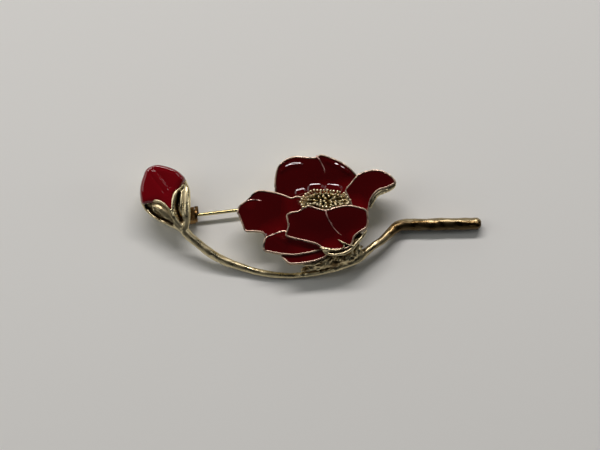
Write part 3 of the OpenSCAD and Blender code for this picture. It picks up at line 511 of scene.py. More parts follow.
def make(name, part, material, sharp=35, attributes=None, node=None):
    """A piece of the brooch from a (points, faces) pair in plan millimetres."""
    points, faces = part
    mesh = bpy.data.meshes.new(name)
    mesh.from_pydata(((points - PLAN_ORIGIN) * MM).tolist(), [], faces)
    mesh.validate()
    mesh.update()
    mesh.shade_smooth()
    if sharp:
        mesh.set_sharp_from_angle(angle=math.radians(sharp))
    for key, values in (attributes or {}).items():
        mesh.attributes.new(key, "FLOAT", "POINT").data.foreach_set("value", np.asarray(values, np.float32))
    obj = bpy.data.objects.new(name, mesh)
    mesh.materials.append(material)
    scene.collection.objects.link(obj)
    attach(obj, BODY)
    if node:
        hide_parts(node)
    return obj


def fused(part):
    """One closed skin round overlapping solids, softened as a casting is.

    Gives the skin's points, its faces and the points' normals.
    """
    points, faces = part
    mesh = bpy.data.meshes.new("fusing")
    mesh.from_pydata(points.tolist(), [], faces)
    obj = bpy.data.objects.new("fusing", mesh)
    scene.collection.objects.link(obj)
    remesh = obj.modifiers.new("skin", "REMESH")
    remesh.mode = "VOXEL"
    remesh.voxel_size = VOXEL
    smooth = obj.modifiers.new("soften", "SMOOTH")
    smooth.factor = 0.5
    smooth.iterations = FUSING_STEPS
    skin = obj.evaluated_get(bpy.context.evaluated_depsgraph_get()).to_mesh()
    points = np.array([tuple(v.co) for v in skin.vertices])
    normals = np.array([tuple(v.normal) for v in skin.vertices])
    faces = [list(face.vertices) for face in skin.polygons]
    bpy.data.objects.remove(obj)
    bpy.data.meshes.remove(mesh)
    return points, faces, normals


# Materials

# The black that colours blend to where the attribute for tarnishing and painted light goes from 1 to 2:
# painted shade in the sepals' hollows, on the twig's near side and on the rims' inner sides, and dark patina
# on the knot
SHADE_AND_PATINA_BLACK = (0.1, 0.08, 0.07, 1)
# Lumps for each metre in the patches of wear and stain, and how much the enamel's colour varies
WEAR_SCALE = 420.0
ENAMEL_CLOUDS = 0.35


def new_material(name):
    material = bpy.data.materials.new(name)
    material.use_nodes = True
    return material, material.node_tree, material.node_tree.nodes["Principled BSDF"]


def add_node(tree, kind, **values):
    """A new node with its properties and its unlinked inputs set by name."""
    node = tree.nodes.new(kind)
    for key, value in values.items():
        if hasattr(node, key):
            setattr(node, key, value)
        else:
            node.inputs[key].default_value = value
    return node


def ramp(tree, amount, stops):
    """A ramp's colour socket. Stops are (place, colour) pairs."""
    node = tree.nodes.new("ShaderNodeValToRGB")
    ends = node.color_ramp.elements
    while len(ends) < len(stops):
        ends.new(0.5)
    for end, (place, colour) in zip(ends, stops):
        end.position = place
        end.color = (*colour, 1.0)
    tree.links.new(amount, node.inputs["Fac"])
    return node.outputs["Color"]


def map_range(tree, amount, low, high, new_low=0.0, new_high=1.0):
    ends = {"From Min": low, "From Max": high, "To Min": new_low, "To Max": new_high}
    node = add_node(tree, "ShaderNodeMapRange", **ends)
    tree.links.new(amount, node.inputs["Value"])
    return node.outputs["Result"]


def attribute(tree, name):
    return add_node(tree, "ShaderNodeAttribute", attribute_name=name).outputs["Fac"]


def object_noise(tree, scale, detail=3.0):
    """Noise fixed to the piece. scale is in lumps for each metre."""
    place = tree.nodes.new("ShaderNodeTexCoord")
    noise = add_node(tree, "ShaderNodeTexNoise", Scale=scale, Detail=detail, Roughness=0.55)
    tree.links.new(place.outputs["Object"], noise.inputs["Vector"])
    return noise.outputs["Fac"]


def bump(tree, height, distance):
    node = add_node(tree, "ShaderNodeBump", Strength=1.0, Distance=distance)
    tree.links.new(height, node.inputs["Height"])
    return node.outputs["Normal"]


def multiply(tree, share, colour):
    """A node that multiplies a colour by its input B, as far as share says."""
    node = add_node(tree, "ShaderNodeMix", data_type="RGBA", blend_type="MULTIPLY")
    tree.links.new(share, node.inputs["Factor"])
    tree.links.new(colour, node.inputs["A"])
    return node


def scaled(colour, share, plus=0.0):
    return tuple(plus + share * channel for channel in colour)


def metal(name, bright, deep, roughness, grain, grain_depth, reach=1.2 * MM, tarnish_and_painted_light=None):
    """Plated metal with painted shade that darkens it in hollows up to reach deep, with a cast grain of so
    many lumps for each metre.

    The colour is multiplied by the last argument's colour where the mesh's attribute for tarnishing and
    painted light is 1. From 1 to 2 it blackens, as painted shade and, on the knot, as dark patina.
    """
    material, tree, shader = new_material(name)
    shader.inputs["Metallic"].default_value = 1.0
    # Painted shade: ambient occlusion darkens the colour in hollows, nearly to black in the deepest
    hollow = add_node(tree, "ShaderNodeAmbientOcclusion", samples=8, Distance=reach).outputs["AO"]
    colour = ramp(tree, hollow, [(0.2, scaled(deep, 0.12)), (0.5, deep), (0.88, bright)])
    wear = object_noise(tree, WEAR_SCALE)
    if tarnish_and_painted_light:
        amount = attribute(tree, "tarnish_and_painted_light")
        stain_and_painted_light = multiply(tree, amount, colour)
        patches = ramp(tree, wear, [(0.35, tarnish_and_painted_light), (0.75, scaled(tarnish_and_painted_light, 0.8, 0.2))])
        tree.links.new(patches, stain_and_painted_light.inputs["B"])
        # Painted shade, and dark patina on the knot, blacken the colour where the attribute goes over 1
        shade_and_patina = multiply(tree, map_range(tree, amount, 1.0, 2.0), stain_and_painted_light.outputs["Result"])
        shade_and_patina.inputs["B"].default_value = SHADE_AND_PATINA_BLACK
        colour = shade_and_patina.outputs["Result"]
    tree.links.new(colour, shader.inputs["Base Color"])
    spread = map_range(tree, wear, 0.3, 0.7, roughness * 0.55, roughness * 1.5)
    tree.links.new(spread, shader.inputs["Roughness"])
    relief = bump(tree, object_noise(tree, grain, 4.0), grain_depth)
    tree.links.new(relief, shader.inputs["Normal"])
    return material


def enamel_material(name, deep, bright, glow):
    """Glossy enamel, deep where the mesh's attribute of depth and painted glow is 1 and towards glow where it
    is less: lighter where it thins at its edges, with painted light at the glowing places.
    """
    material, tree, shader = new_material(name)
    shift = add_node(tree, "ShaderNodeMath", operation="MULTIPLY_ADD")
    shift.inputs[1].default_value = ENAMEL_CLOUDS
    tree.links.new(object_noise(tree, 260.0, 2.0), shift.inputs[0])
    tree.links.new(attribute(tree, "pool_and_painted_glow"), shift.inputs[2])
    tone = ramp(tree, shift.outputs["Value"], [(0.15, glow), (0.5, bright), (1.0, deep)])
    tree.links.new(tone, shader.inputs["Base Color"])
    shader.inputs["Roughness"].default_value = 0.6
    shader.inputs["Specular IOR Level"].default_value = 0.0
    shader.inputs["Coat Weight"].default_value = 1.0
    shader.inputs["Coat IOR"].default_value = 1.65
    shader.inputs["Coat Roughness"].default_value = 0.03
    relief = bump(tree, object_noise(tree, 700.0, 2.0), 0.012 * MM)
    tree.links.new(relief, shader.inputs["Normal"])
    tree.links.new(relief, shader.inputs["Coat Normal"])
    return material


GOLD = (0.80, 0.69, 0.42)
cast_gold = metal("cast_gold", GOLD, (0.26, 0.16, 0.06), 0.3, 3200.0, 0.03 * MM, tarnish_and_painted_light=(0.20, 0.14, 0.08))
# On the rims the multiplying colour is a dull pink painted reflection of the red enamel
rim_gold = metal("rim_gold", GOLD, (0.36, 0.24, 0.11), 0.3, 2600.0, 0.03 * MM, tarnish_and_painted_light=(0.60, 0.50, 0.62))
# The creases' pink is a painted reflection of the red enamel round them
crease_gold = metal("crease_gold", (0.85, 0.54, 0.46), (0.42, 0.17, 0.14), 0.34, 2600.0, 0.02 * MM)
stamen_gold = metal("stamen_gold", (0.92, 0.80, 0.52), (0.34, 0.27, 0.10), 0.26, 2600.0, 0.01 * MM, 0.5 * MM)
# The findings' brass colour is darkened further as painted shade, for the dark surroundings they mirror
finding_gold = metal("finding_gold", (0.27, 0.155, 0.055), (0.09, 0.04, 0.013), 0.3, 5200.0, 0.008 * MM)
pin_gold = metal("pin_gold", (0.64, 0.54, 0.25), (0.42, 0.3, 0.1), 0.16, 6500.0, 0.004 * MM)
flower_enamel = enamel_material(
    "flower_enamel", (0.056, 0.0005, 0.001), (0.11, 0.0011, 0.002), (0.27, 0.004, 0.008))
# The bud's enamel is the flower's red painted brighter, as painted light for the light that falls on the bud
bud_enamel = enamel_material("bud_enamel", (0.19, 0.0016, 0.005), (0.24, 0.0025, 0.008), (0.32, 0.007, 0.016))


# The flower's petals


def petal_metal(rows, middle):
    """A petal's outer wall, rounded rim and tray under the enamel, and their points' painted light: a pink
    reflection of the enamel on the rim and shade down into the tray.
    """
    curve = outline(rows)
    flat, heights, walls = curve[:, :2], curve[:, 2], curve[:, 3]
    wave = 0.06 * value_noise(flat, 0.9, 4.0)
    width = RIM * (1 + 0.5 * wave)
    beading = 0.5 * wave + 0.03 * value_noise(flat, 0.5, 17.0)
    rings = [
        lifted(shrunk(flat, middle, 0.8), FLOWER_BACK),
        lifted(shrunk(flat, middle, 0.97), heights - walls),
        lifted(shrunk(flat, middle, 0.99), heights - 0.55 * walls)]
    for across, rise in RIM_PROFILE:
        crown = heights + RIM_CREST * rise + beading * (across > 0.05)
        rings.append(lifted(inset(curve, across * width / RIM), crown))
    tray = middle[2] - 0.75
    rings.append(lifted(inset(curve, RIM + 0.02), heights - RECESS - 0.2))
    rings.append(lifted(shrunk(flat, middle, 0.6), np.minimum(heights - 1.0, tray + 0.1)))
    tarnish_and_painted_light = np.append(np.repeat(RIM_PAINTED_LIGHT, len(curve)), (0.0, 1.0))
    return loft(rings, (*middle[:2], FLOWER_BACK), (*middle[:2], tray)), tarnish_and_painted_light


def soft_bowl(points, curve):
    """For points inside an outline: the height of the rim round them, and how far in from it they are."""
    flat = curve[:, :2]
    step = np.linalg.norm(np.roll(flat, -1, axis=0) - flat, axis=1)
    weight_sum = np.zeros(len(points))
    height_sum = np.zeros(len(points))
    for place, length, height in zip(flat, step, curve[:, 2]):
        pull = length / (np.sum((points - place) ** 2, axis=1) + 0.02) ** 1.5
        weight_sum += pull
        height_sum += pull * height
    return height_sum / weight_sum, np.sqrt(2 / weight_sum)


def enamel_grid(curve):
    """Points in plan over a petal, and the grid's shape."""
    low, high = curve[:, :2].min(axis=0), curve[:, :2].max(axis=0)
    xs = np.arange(low[0], high[0] + ENAMEL_CELL, ENAMEL_CELL)
    ys = np.arange(low[1], high[1] + ENAMEL_CELL, ENAMEL_CELL)
    gx, gy = np.meshgrid(xs, ys, indexing="ij")
    return np.column_stack([gx.ravel(), gy.ravel()]), gx.shape


def bowl_of(rows, sag):
    """A function for a petal's enamel height at places in plan, without its meniscus.

    It is level with the rims, and sag lower in the middle.
    """
    curve = outline(rows)
    points, _ = enamel_grid(curve)
    deepest = soft_bowl(points[inside(points, curve[:, :2])], curve)[1].max()

    def height(places):
        rim_height, far_in = soft_bowl(places, curve)
        share = 1 - np.clip(far_in / deepest, 0, 1)
        return rim_height - FILL_DROP - sag * (1 - share**2)

    return height


def petal_enamel(rows, height, covers, creases, pads, ridges, glow, meniscus):
    """A petal's enamel: a thin closed slab with a meniscus, and its attribute for the enamel's depth and
    painted glow.
    """
    curve = outline(rows)
    points, shape = enamel_grid(curve)
    own = depth_inside(points, curve[:, :2])
    keep = own > ENAMEL_TUCK
    edge = own - RIM
    for cover in covers:
        depth = depth_inside(points, cover[:, :2])
        keep &= depth < COVERED_TUCK
        edge = np.minimum(edge, -depth)
    for line in creases:
        edge = np.minimum(edge, distance_to(points, spline(line, 6)) - CREASE_RADIUS)
    edge = np.maximum(edge, 0)
    z = height(points) + meniscus * np.exp(-edge / MENISCUS_REACH)
    for line, reach in pads:
        far = distance_to(points, line)
        share = np.clip((reach + PAD_EDGE / 2 - far) / PAD_EDGE, 0, 1)
        z += PAD_RISE * share * (1 + PAD_BEND * (1 - share))
    for ridge in ridges:
        rise = np.interp(points[:, 0], *np.array(ridge)[:, [0, 2]].T)
        far = distance_to(points, spline(ridge, 6))
        z += rise * (1 + 0.25 * value_noise(points, 0.9, 13.0)) * np.exp(-((far / RIDGE_REACH) ** 2))
    z += 0.03 * value_noise(points, 2.6, 9.0)
    pool_and_painted_glow = thin_at_edge(edge)
    # Painted light: the enamel's colour is brightened round each glowing place
    for x, y, reach, lift in glow:
        pool_and_painted_glow -= lift * np.exp(-((points[:, 0] - x) ** 2 + (points[:, 1] - y) ** 2) / reach**2)
    return slab(keep.reshape(shape), points, z, ENAMEL_DEPTH, np.clip(pool_and_painted_glow, 0, 1))


def thin_at_edge(edge):
    """The enamel's depth tone at distances from its edge, lighter where it thins."""
    return 1 - 0.3 * np.exp(-edge / 0.3)


def slab(keep, points, z, depth, pool_and_painted_glow):
    """A closed slab over the cells of a grid whose corners are all kept."""
    cells = keep[:-1, :-1] & keep[1:, :-1] & keep[1:, 1:] & keep[:-1, 1:]
    index = np.arange(keep.size).reshape(keep.shape)
    a, b, c, d = index[:-1, :-1][cells], index[1:, :-1][cells], index[1:, 1:][cells], index[:-1, 1:][cells]
    top = np.column_stack([a, b, c, d])
    used = np.unique(top)
    renumber = np.full(keep.size, -1)
    renumber[used] = np.arange(len(used))
    top = renumber[top]
    n = len(used)
    edges = np.vstack([top[:, [k, (k + 1) % 4]] for k in range(4)])
    forward = {(int(p), int(q)) for p, q in edges}
    skirt = [[q, p, p + n, q + n] for p, q in forward if (q, p) not in forward]
    upper = np.column_stack([points[used], z[used]])
    lower = upper - np.array([0, 0, depth])
    faces = top.tolist() + (top[:, ::-1] + n).tolist() + sorted(skirt)
    return (np.vstack([upper, lower]), faces), np.concatenate([pool_and_painted_glow[used], pool_and_painted_glow[used]])


def crease_line(rows, height):
    """A thin metal line on the enamel, tapering into it at its inner end."""
    rows = np.array(rows)
    radius = CREASE_RADIUS * np.linspace(1.0, 0.6, len(rows))
    line = np.column_stack([rows[:, :2], height(rows[:, :2]) + rows[:, 2] - radius, radius])
    return sweep(line, 10, 0.12, relief=lambda turn, along: 1 + 0.12 * np.sin(2.9 * along + 2 * turn))


front_curve, lower_curve = outline(FRONT_PETAL), outline(LOWER_PETAL)
left_curve, right_curve = outline(LEFT_PETAL), outline(RIGHT_PETAL)
pocket_curve, ground_curve = flat_outline(CURL_POCKET), flat_outline(STAMEN_GROUND)

# Painted light: glowing places where the enamel's colour is brightened. Columns: x, y, reach, how much
# brighter
TOP_GLOW = [(2.6, 5.4, 2.2, 0.6), (7.7, 6.6, 1.9, 0.45), (-2.0, 4.6, 1.9, 0.4), (5.8, 5.4, 1.6, 0.35)]
LEFT_GLOW = [(-4.0, 2.4, 2.3, 0.5), (-5.9, -2.3, 2.4, 0.5), (-8.8, -3.0, 2.2, 0.35), (-12.4, 2.2, 1.4, 0.3)]
RIGHT_GLOW = [(9.4, 2.5, 1.9, 0.6), (10.9, 1.0, 1.3, 0.5)]
LOWER_GLOW = [(-6.5, -5.3, 2.2, 0.3), (-2.5, -5.8, 2.2, 0.6), (1.3, -6.0, 2.0, 0.6)]
BOTTOM_GLOW = [(-3.5, -8.0, 2.0, 0.3), (0.0, -7.6, 2.0, 0.5), (2.5, -7.2, 1.5, 0.4)]
FRONT_GLOW = [(3.3, -6.3, 1.5, 0.35), (5.3, -6.1, 1.7, 0.45), (8.4, -4.4, 1.5, 0.35)]

# Columns: name, rows, middle, sag of the enamel there, what lies over it, metal lines in it, raised pads,
# ridges, places of painted light, meniscus
PETALS = [
    ("top", TOP_PETAL, TOP_MIDDLE, 0.3, [left_curve, right_curve, ground_curve],
     [TOP_CREASE], SWELL_PADS, TOP_RIDGES, TOP_GLOW, 0.03),
    ("left", LEFT_PETAL, LEFT_MIDDLE, 0.3, [front_curve, lower_curve, ground_curve],
     [LEFT_CREASE], [], [], LEFT_GLOW, 0.02),
    ("right", RIGHT_PETAL, RIGHT_MIDDLE, 0.15, [front_curve, ground_curve], [], [], [], RIGHT_GLOW, 0.03),
    ("front", FRONT_PETAL, FRONT_MIDDLE, 0.25, [pocket_curve], [FRONT_CREASE], [], [], FRONT_GLOW, 0.03),
    ("lower", LOWER_PETAL, LOWER_MIDDLE, 0.12, [front_curve], [], [], LOWER_RIDGES, LOWER_GLOW, 0.02),
    ("bottom", BOTTOM_PETAL, BOTTOM_MIDDLE, 0.08, [lower_curve, front_curve], [], [], [], BOTTOM_GLOW, 0.02),
]
lines = []
for name, rows, middle, sag, covers, creases, pads, ridges, glow, meniscus in PETALS:
    height = bowl_of(rows, sag)
    part, tarnish_and_painted_light = petal_metal(rows, middle)
    make(f"petal_{name}_metal", part, rim_gold, attributes={"tarnish_and_painted_light": tarnish_and_painted_light})
    part, pool_and_painted_glow = petal_enamel(rows, height, covers, creases, pads, ridges, glow, meniscus)
    enamel = make(f"petal_{name}_enamel", part, flower_enamel, 60, {"pool_and_painted_glow": pool_and_painted_glow}, f"enamel_{name}")
    lines += [crease_line(line, height) for line in creases]
make("crease_lines", joined(lines), crease_gold)


# The stamens


def stamens():
    """Rods that lean out from the middle in rings, each with a bead at its tip."""
    ring = spline(STAMEN_RING, OUTLINE_STEPS, True)
    around = np.linalg.norm(np.diff(ring[:, :3], axis=0), axis=1).sum()
    parts = []
    for r, (count, share, drop, foot_share) in enumerate(STAMEN_RINGS):
        for k, tip in enumerate(even(ring, around / count, True)):
            seed = 41 * r + k
            place = shrunk(tip[:2], STAMEN_MIDDLE, share * (1 + 0.07 * (scatter(seed) - 0.6)))
            foot = shrunk(tip[:2], STAMEN_MIDDLE, foot_share) + jitter(seed + 5, 0.5)
            radius = BEAD_RADIUS * (0.85 + 0.35 * scatter(seed + 19))
            height = min(tip[2] - drop + jitter(seed + 13, 0.3), BEAD_TOP - radius)
            bead = (place[0] + jitter(seed + 7, 0.2), place[1], height)
            parts.append(rod((*foot, STAMEN_FOOT), bead, STALK_RADIUS * 1.15, STALK_RADIUS * 0.85))
            parts.append(ball(bead, radius))
    return joined(parts)


make("stamens", stamens(), stamen_gold, 50)


# The fused metal: branch, knot, lips, the stamens' ground, the pads on the back, the bud's cup and its sepals


def on_bar(turn, along, radius):
    """Places for the noise on a bar of this radius."""
    return np.column_stack([(radius * np.cos(turn)).ravel(), (radius * np.sin(turn)).ravel(), along.ravel()])


def bark(turn, along):
    """How the branch's radius varies: long twisting ridges and flat facets."""
    places = on_bar(turn + 0.16 * along, along / 2.4, 1.6)
    ridges = fractal(places, 0.9, 3.0)
    facets = np.abs(value_noise(places * np.array([1.0, 1.0, 1.7]), 1.15, 21.0))
    return (1 + BARK_RELIEF * (1.2 * ridges - facets)).reshape(turn.shape)


def lumps(turn, along):
    return (1 + 0.16 * fractal(on_bar(turn, along, 1.2), 1.0, 5.0)).reshape(turn.shape)


def hammered(turn, along):
    places = on_bar(turn, along, 0.8)
    dents = 0.2 * value_noise(places, 0.7, 61.0) + 0.1 * value_noise(places, 0.4, 67.0)
    return (1 + dents).reshape(turn.shape)


def block(low_ring, low, high_ring, high, middle):
    """A solid between two rings at two heights."""
    return loft([lifted(low_ring, low), lifted(high_ring, high)], (*middle, low), (*middle, high))


def pad(place, radius, top_radius, top):
    turns = -full_turn(72)
    circle = np.column_stack([np.cos(turns), np.sin(turns)])
    return block(np.array(place) + radius * circle, BACK, np.array(place) + top_radius * circle, top, place)


def bud_cup():
    """The cup under the bud's enamel: rounded up from the back to its widest line, then in to its edge."""
    curve = outline(BUD_CUP, 0.25)
    flat, heights = curve[:, :2], curve[:, 2]
    rings = [lifted(shrunk(flat, BUD_MIDDLE, share), BACK + rise * (heights - BACK))
             for share, rise in ((0.62, 0.0), (0.78, 0.12), (0.88, 0.35), (0.95, 0.65), (1.0, 1.0))]
    rings.append(lifted(inset(curve, 0.05), BUD_CUP_TOP - 0.1))
    rings.append(lifted(inset(curve, 0.14), BUD_CUP_TOP))
    return loft(rings, (*BUD_MIDDLE, BACK), (*BUD_MIDDLE, BUD_CUP_TOP))


def sepal(rows, middle):
    """A leaf of the cup: a rounded rim round a hollow with fine veins."""
    curve = outline(rows, 0.12)
    flat, heights, walls = curve[:, :2], curve[:, 2], curve[:, 3]
    hollow = middle[2] - 1.25
    rings = [
        lifted(shrunk(flat, middle, 0.8), SEPAL_BACK), lifted(shrunk(flat, middle, 0.97), heights - walls)]
    for across, drop in SEPAL_PROFILE:
        rings.append(lifted(inset(curve, across), heights + drop))
    veins = 0.05 * np.cos(np.arange(len(curve)) * 2 * np.pi / 7)
    for share in (0.8, 0.55, 0.25):
        bowl = hollow + share**5 * (heights - 0.5 - hollow) + veins * share
        rings.append(lifted(shrunk(flat, middle, share), bowl))
    return loft(rings, (*middle[:2], SEPAL_BACK), (*middle[:2], hollow))


def knot_beads():
    """Small round lumps scattered over the knot's upper side."""
    line = spline(KNOT, 10)
    parts = []
    for k in range(KNOT_BEAD_COUNT):
        x, y, z, radius = line[int(scatter(k) * (len(line) - 1))]
        turn = math.pi * (0.05 + 0.9 * scatter(k + 61))
        place = (x + jitter(k + 17, 0.6), y + radius * math.cos(turn), z + radius * math.sin(turn))
        parts.append(ball(place, 0.2 + 0.22 * scatter(k + 33)))
    return parts


def knot_folds():
    """Short curved folds that run slantwise over the knot."""
    line = spline(KNOT, 10)
    folds = []
    for k in range(KNOT_FOLD_COUNT):
        x, y, z, radius = line[int((k + 0.5) / KNOT_FOLD_COUNT * (len(line) - 1))]
        slant = 0.6 + 2.2 * scatter(k + 71)
        rows = []
        for share in (0.08, 0.3, 0.55, 0.8, 0.98):
            turn = math.pi * (share + jitter(k + 83, 0.12))
            out, up = (radius + 0.05) * math.cos(turn), (radius + 0.05) * math.sin(turn)
            size = (0.12 + 0.14 * scatter(k + 97)) * math.sin(math.pi * (0.12 + 0.76 * share))
            rows.append((x + slant * (share - 0.5), y - out, z + up, size + 0.05))
        folds.append(sweep(rows, 12, 0.1))
    return folds


def near_knot(points):
    """1 near the middle lines of the knot and its arms, 0 two millimetres away, and less high up."""
    lines = [spline(KNOT, 6)] + [spline(rows, 2) for rows in KNOT_ARMS]
    far = np.min([distance_to(points[:, :2], line) for line in lines], axis=0)
    flower_side = np.clip((points[:, 2] - 4.9) / 0.7, 0, 1)
    return np.clip(1.6 - far / 1.2, 0, 1) * (1 - 0.6 * flower_side)


def overlapping_solids():
    """The branch and the knot with all that grows out of them, still as separate solids."""
    ground = ground_curve[:, :2]
    parts = [sweep(BRANCH, 40, 0.12, bark), sweep(KNOT, 24, 0.15, lumps)]
    parts += [block(ground, GROUND_BOTTOM, ground, GROUND_TOP, STAMEN_MIDDLE), bud_cup()]
    parts += [sweep(FRONT_LIP, 20, 0.12), sweep(RIGHT_LIP, 20, 0.12, hammered)]
    parts += [sweep(LEAF_EDGE, 18, 0.12), sweep(LIP_FLOOR, 20, 0.12)]
    parts += [sepal(LEFT_SEPAL, LEFT_SEPAL_MIDDLE), sepal(RIGHT_SEPAL, RIGHT_SEPAL_MIDDLE)]
    parts += [pad(*row) for row in BACK_PADS]
    parts += [sweep(arm, 20, 0.15, lumps) for arm in KNOT_ARMS]
    parts += [sweep(edge, 12, 0.08) for edge in CURL_EDGES]
    parts += [sweep(vein, 12, 0.12, lumps) for vein in SEPAL_VEINS]
    parts += [sweep(roll, 12, 0.12) for roll in SEPAL_ROLLS]
    return parts + [sweep(CUP_WALL, 24, 0.12)] + knot_beads() + knot_folds()


def branch_brown_and_painted_twig_shade(points, grain):
    """The branch's brown, darker towards the bottom, with painted light on the cut twig's far side and
    painted shade on its near side.
    """
    # Browner along the branch towards the twig, and darker towards the bottom, as the brown fades out upwards
    fade = np.clip((BROWN_TOP - points[:, 2]) / BROWN_FADE, 0, 1)
    on_twig = np.clip((points[:, 0] - TWIG_START) / 2.5, 0, 1)
    # Painted light lightens the twig's far side and painted shade blackens its near side
    shaded_side = np.clip((TWIG_SHADE_EDGE - points[:, 1] + 0.3 * grain) / 0.4, 0, 1)
    twig_light_and_shade = 1 - on_twig * (TWIG_PAINTED_LIGHT - TWIG_PAINTED_SHADE * shaded_side)
    return np.interp(points[:, 0], *zip(*BRANCH_BROWN)) * fade * twig_light_and_shade


def fused_metal():
    """The fused metal with its fine relief, and the amounts of brown, patina, painted light and painted shade
    at its points.
    """
    points, faces, normals = fused(joined(overlapping_solids()))
    rough = near_knot(points)
    grain = fractal(points, 0.9, 31.0)
    folds = 1 - 2 * np.abs(value_noise(points * np.array([1.0, 1.5, 1.5]), 1.0, 41.0))
    height = rough * (KNOT_RELIEF * grain + KNOT_RELIEF * folds)
    height += SKIN_RELIEF * value_noise(points, 0.5, 51.0)
    stain_and_painted_light = branch_brown_and_painted_twig_shade(points, grain)
    on_face = points[:, 2] > SEPAL_BACK + 0.5
    blade = distance_to(points[:, :2], SEPAL_BLADE) / BLADE_REACH
    blade_stain = BLADE_TARNISH * on_face * np.exp(-(blade**4)) * np.clip(0.7 + 0.8 * grain, 0.2, 1)
    stain_and_painted_light = np.maximum(stain_and_painted_light, blade_stain)
    for line in SEPAL_HOLLOWS:
        far = distance_to(points[:, :2], line) / HOLLOW_REACH
        # Painted shade: the sepals' hollows are painted black
        stain_and_painted_light = np.maximum(stain_and_painted_light, 2 * on_face * np.exp(-(far**4)))
        height -= HOLLOW_DEPTH * on_face * np.exp(-(far**2))
    knot_stain = KNOT_TARNISH * rough * (points[:, 2] > 2.6) * np.clip(0.6 + 1.5 * grain, 0.0, 1.5)
    return (points + normals * height[:, None], faces), np.maximum(stain_and_painted_light, knot_stain)


part, stain_and_painted_light = fused_metal()
make("cast_metal", part, cast_gold, 0, {"tarnish_and_painted_light": stain_and_painted_light}, "casting")


# The bud's enamel


def bud_dome():
    """The bud's closed petals: flat on top, rounded at the shoulders, with two folds."""
    curve = outline(BUD_ENAMEL, 0.12)
    flat, edges = curve[:, :2], curve[:, 2]
    # 0 on the free side, where the shoulder is steep, and 1 where the sepals hold the enamel
    held = np.clip((edges - 5.6) / 0.9, 0, 1)
    for _ in range(HELD_SMOOTHING):
        held = (np.roll(held, 1) + held + np.roll(held, -1)) / 3
    foot = BUD_CUP_TOP - BUD_FOOT
    rings = [lifted(flat, foot)]
    for share in BUD_SHARES:
        shoulder = (1 - share ** (17 - 10 * held)) ** (0.5 + 0.3 * held)
        ring = shrunk(flat, BUD_ENAMEL_MIDDLE, share)
        top = BUD_TOP - BUD_TILT * np.clip(BUD_HIGH - ring[:, 1], 0, None)
        rings.append(lifted(ring, edges + shoulder * (top - edges)))
    crown = rings[-1][:, 2].mean()
    points, faces = loft(rings, (*BUD_ENAMEL_MIDDLE, foot), (*BUD_ENAMEL_MIDDLE, crown))
    on_top = np.clip(points[:, 2] - 6.6, 0, 1)
    own = distance_to(points[:, :2], curve, True)
    for fold, rise, reach in BUD_FOLDS:
        line = spline(fold, BAR_STEPS)
        far = distance_to(points[:, :2], line)
        start, end = line[0], line[-1]
        way = end - start
        side = np.sign(way[0] * (points[:, 1] - start[1]) - way[1] * (points[:, 0] - start[0]))
        step = np.where(side > 0, np.exp(-far / reach), np.exp(-((far / FOLD_LIP) ** 2)))
        taper = np.clip(np.linalg.norm(points[:, :2] - end, axis=1), 0, 1)
        points[:, 2] += on_top * rise * step * taper * np.clip(own / 0.8, 0, 1)
    return (points, faces), thin_at_edge(own)


part, pool_and_painted_glow = bud_dome()
make("bud_petals_enamel", part, bud_enamel, 60, {"pool_and_painted_glow": pool_and_painted_glow}, "enamel_bud")


# The findings keep their exact solids

for node in ("hinge_bracket", "hinge_rivet", "pin_needle", "catch_housing", "catch_roller"):
    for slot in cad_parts[node].material_slots:
        slot.material = pin_gold if node == "pin_needle" else finding_gold


# Floor, light and camera


def area_light(name, place, size, power, colour=(1.0, 1.0, 1.0)):
    light = bpy.data.lights.new(name, "AREA")
    light.shape = "RECTANGLE"
    light.size, light.size_y = size
    light.energy = power
    light.color = colour
    obj = bpy.data.objects.new(name, light)
    obj.location = place
    obj.rotation_euler = (-Vector(place)).to_track_quat("-Z", "Y").to_euler()
    scene.collection.objects.link(obj)


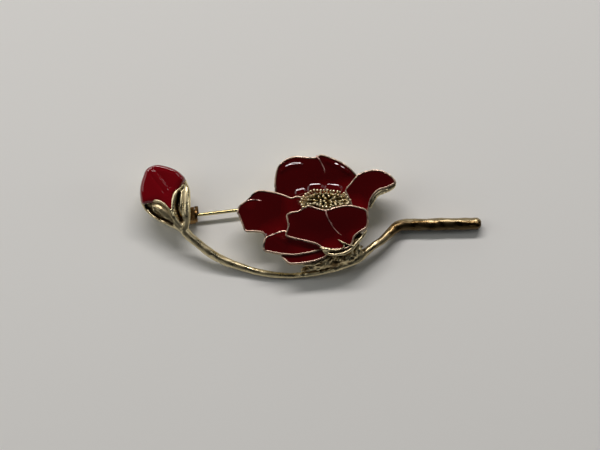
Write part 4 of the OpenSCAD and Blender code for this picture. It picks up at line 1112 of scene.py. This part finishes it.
FLOOR_REACH = 1.5
floor_corners = [(FLOOR_REACH * x, FLOOR_REACH * y, 0) for x, y in ((-1, -1), (1, -1), (1, 1), (-1, 1))]
floor_mesh = bpy.data.meshes.new("floor")
floor_mesh.from_pydata(floor_corners, [], [(0, 1, 2, 3)])
floor = bpy.data.objects.new("floor", floor_mesh)
pale_floor, _, shader = new_material("pale_floor")
shader.inputs["Base Color"].default_value = (0.80, 0.805, 0.76, 1.0)
shader.inputs["Roughness"].default_value = 0.9
floor_mesh.materials.append(pale_floor)
scene.collection.objects.link(floor)

world = bpy.data.worlds.new("studio")
world.use_nodes = True
background = world.node_tree.nodes["Background"]
background.inputs["Color"].default_value = (0.80, 0.84, 0.90, 1.0)
background.inputs["Strength"].default_value = 0.02
scene.world = world
# Name, place and size in metres, power in watts, colour
area_light("window", (-0.05, 0.52, 0.60), (0.80, 0.085), 4.5, (1.0, 0.95, 0.96))
area_light("back_wall", (-0.25, 1.15, 0.42), (1.5, 0.55), 1.4)
area_light("left_wall", (-0.60, 0.12, 0.47), (0.50, 0.60), 1.2)
area_light("lamp", (0.42, 0.25, 0.75), (0.16, 0.16), 0.25)
area_light("front_fill", (0.0, -0.90, 0.32), (1.2, 0.30), 0.4)
area_light("right_fill", (0.75, 0.10, 0.35), (0.08, 0.35), 0.35)

CAMERA_ELEVATION = 78
CAMERA_DISTANCE = 900
CAMERA_AIM = (-2.3, -1.72, 5.0)
SENSOR_WIDTH = 36
# The photograph is 600 pixels wide, and a pixel is this many millimetres at the brooch
PIXEL = 0.2044
PHOTO_WIDTH = 600 * PIXEL
camera_data = bpy.data.cameras.new("camera")
camera_data.sensor_width = SENSOR_WIDTH
camera_data.lens = SENSOR_WIDTH * CAMERA_DISTANCE / PHOTO_WIDTH
camera_data.clip_start, camera_data.clip_end = 0.01, 10
camera = bpy.data.objects.new("camera", camera_data)
tilt = math.radians(CAMERA_ELEVATION)
to_camera = Vector((0, -math.cos(tilt), math.sin(tilt)))
camera.location = Vector((CAMERA_AIM - PLAN_ORIGIN) * MM) + CAMERA_DISTANCE * MM * to_camera
camera.rotation_euler = (-to_camera).to_track_quat("-Z", "Y").to_euler()
scene.collection.objects.link(camera)
scene.camera = camera
scene.view_settings.view_transform = "Standard"
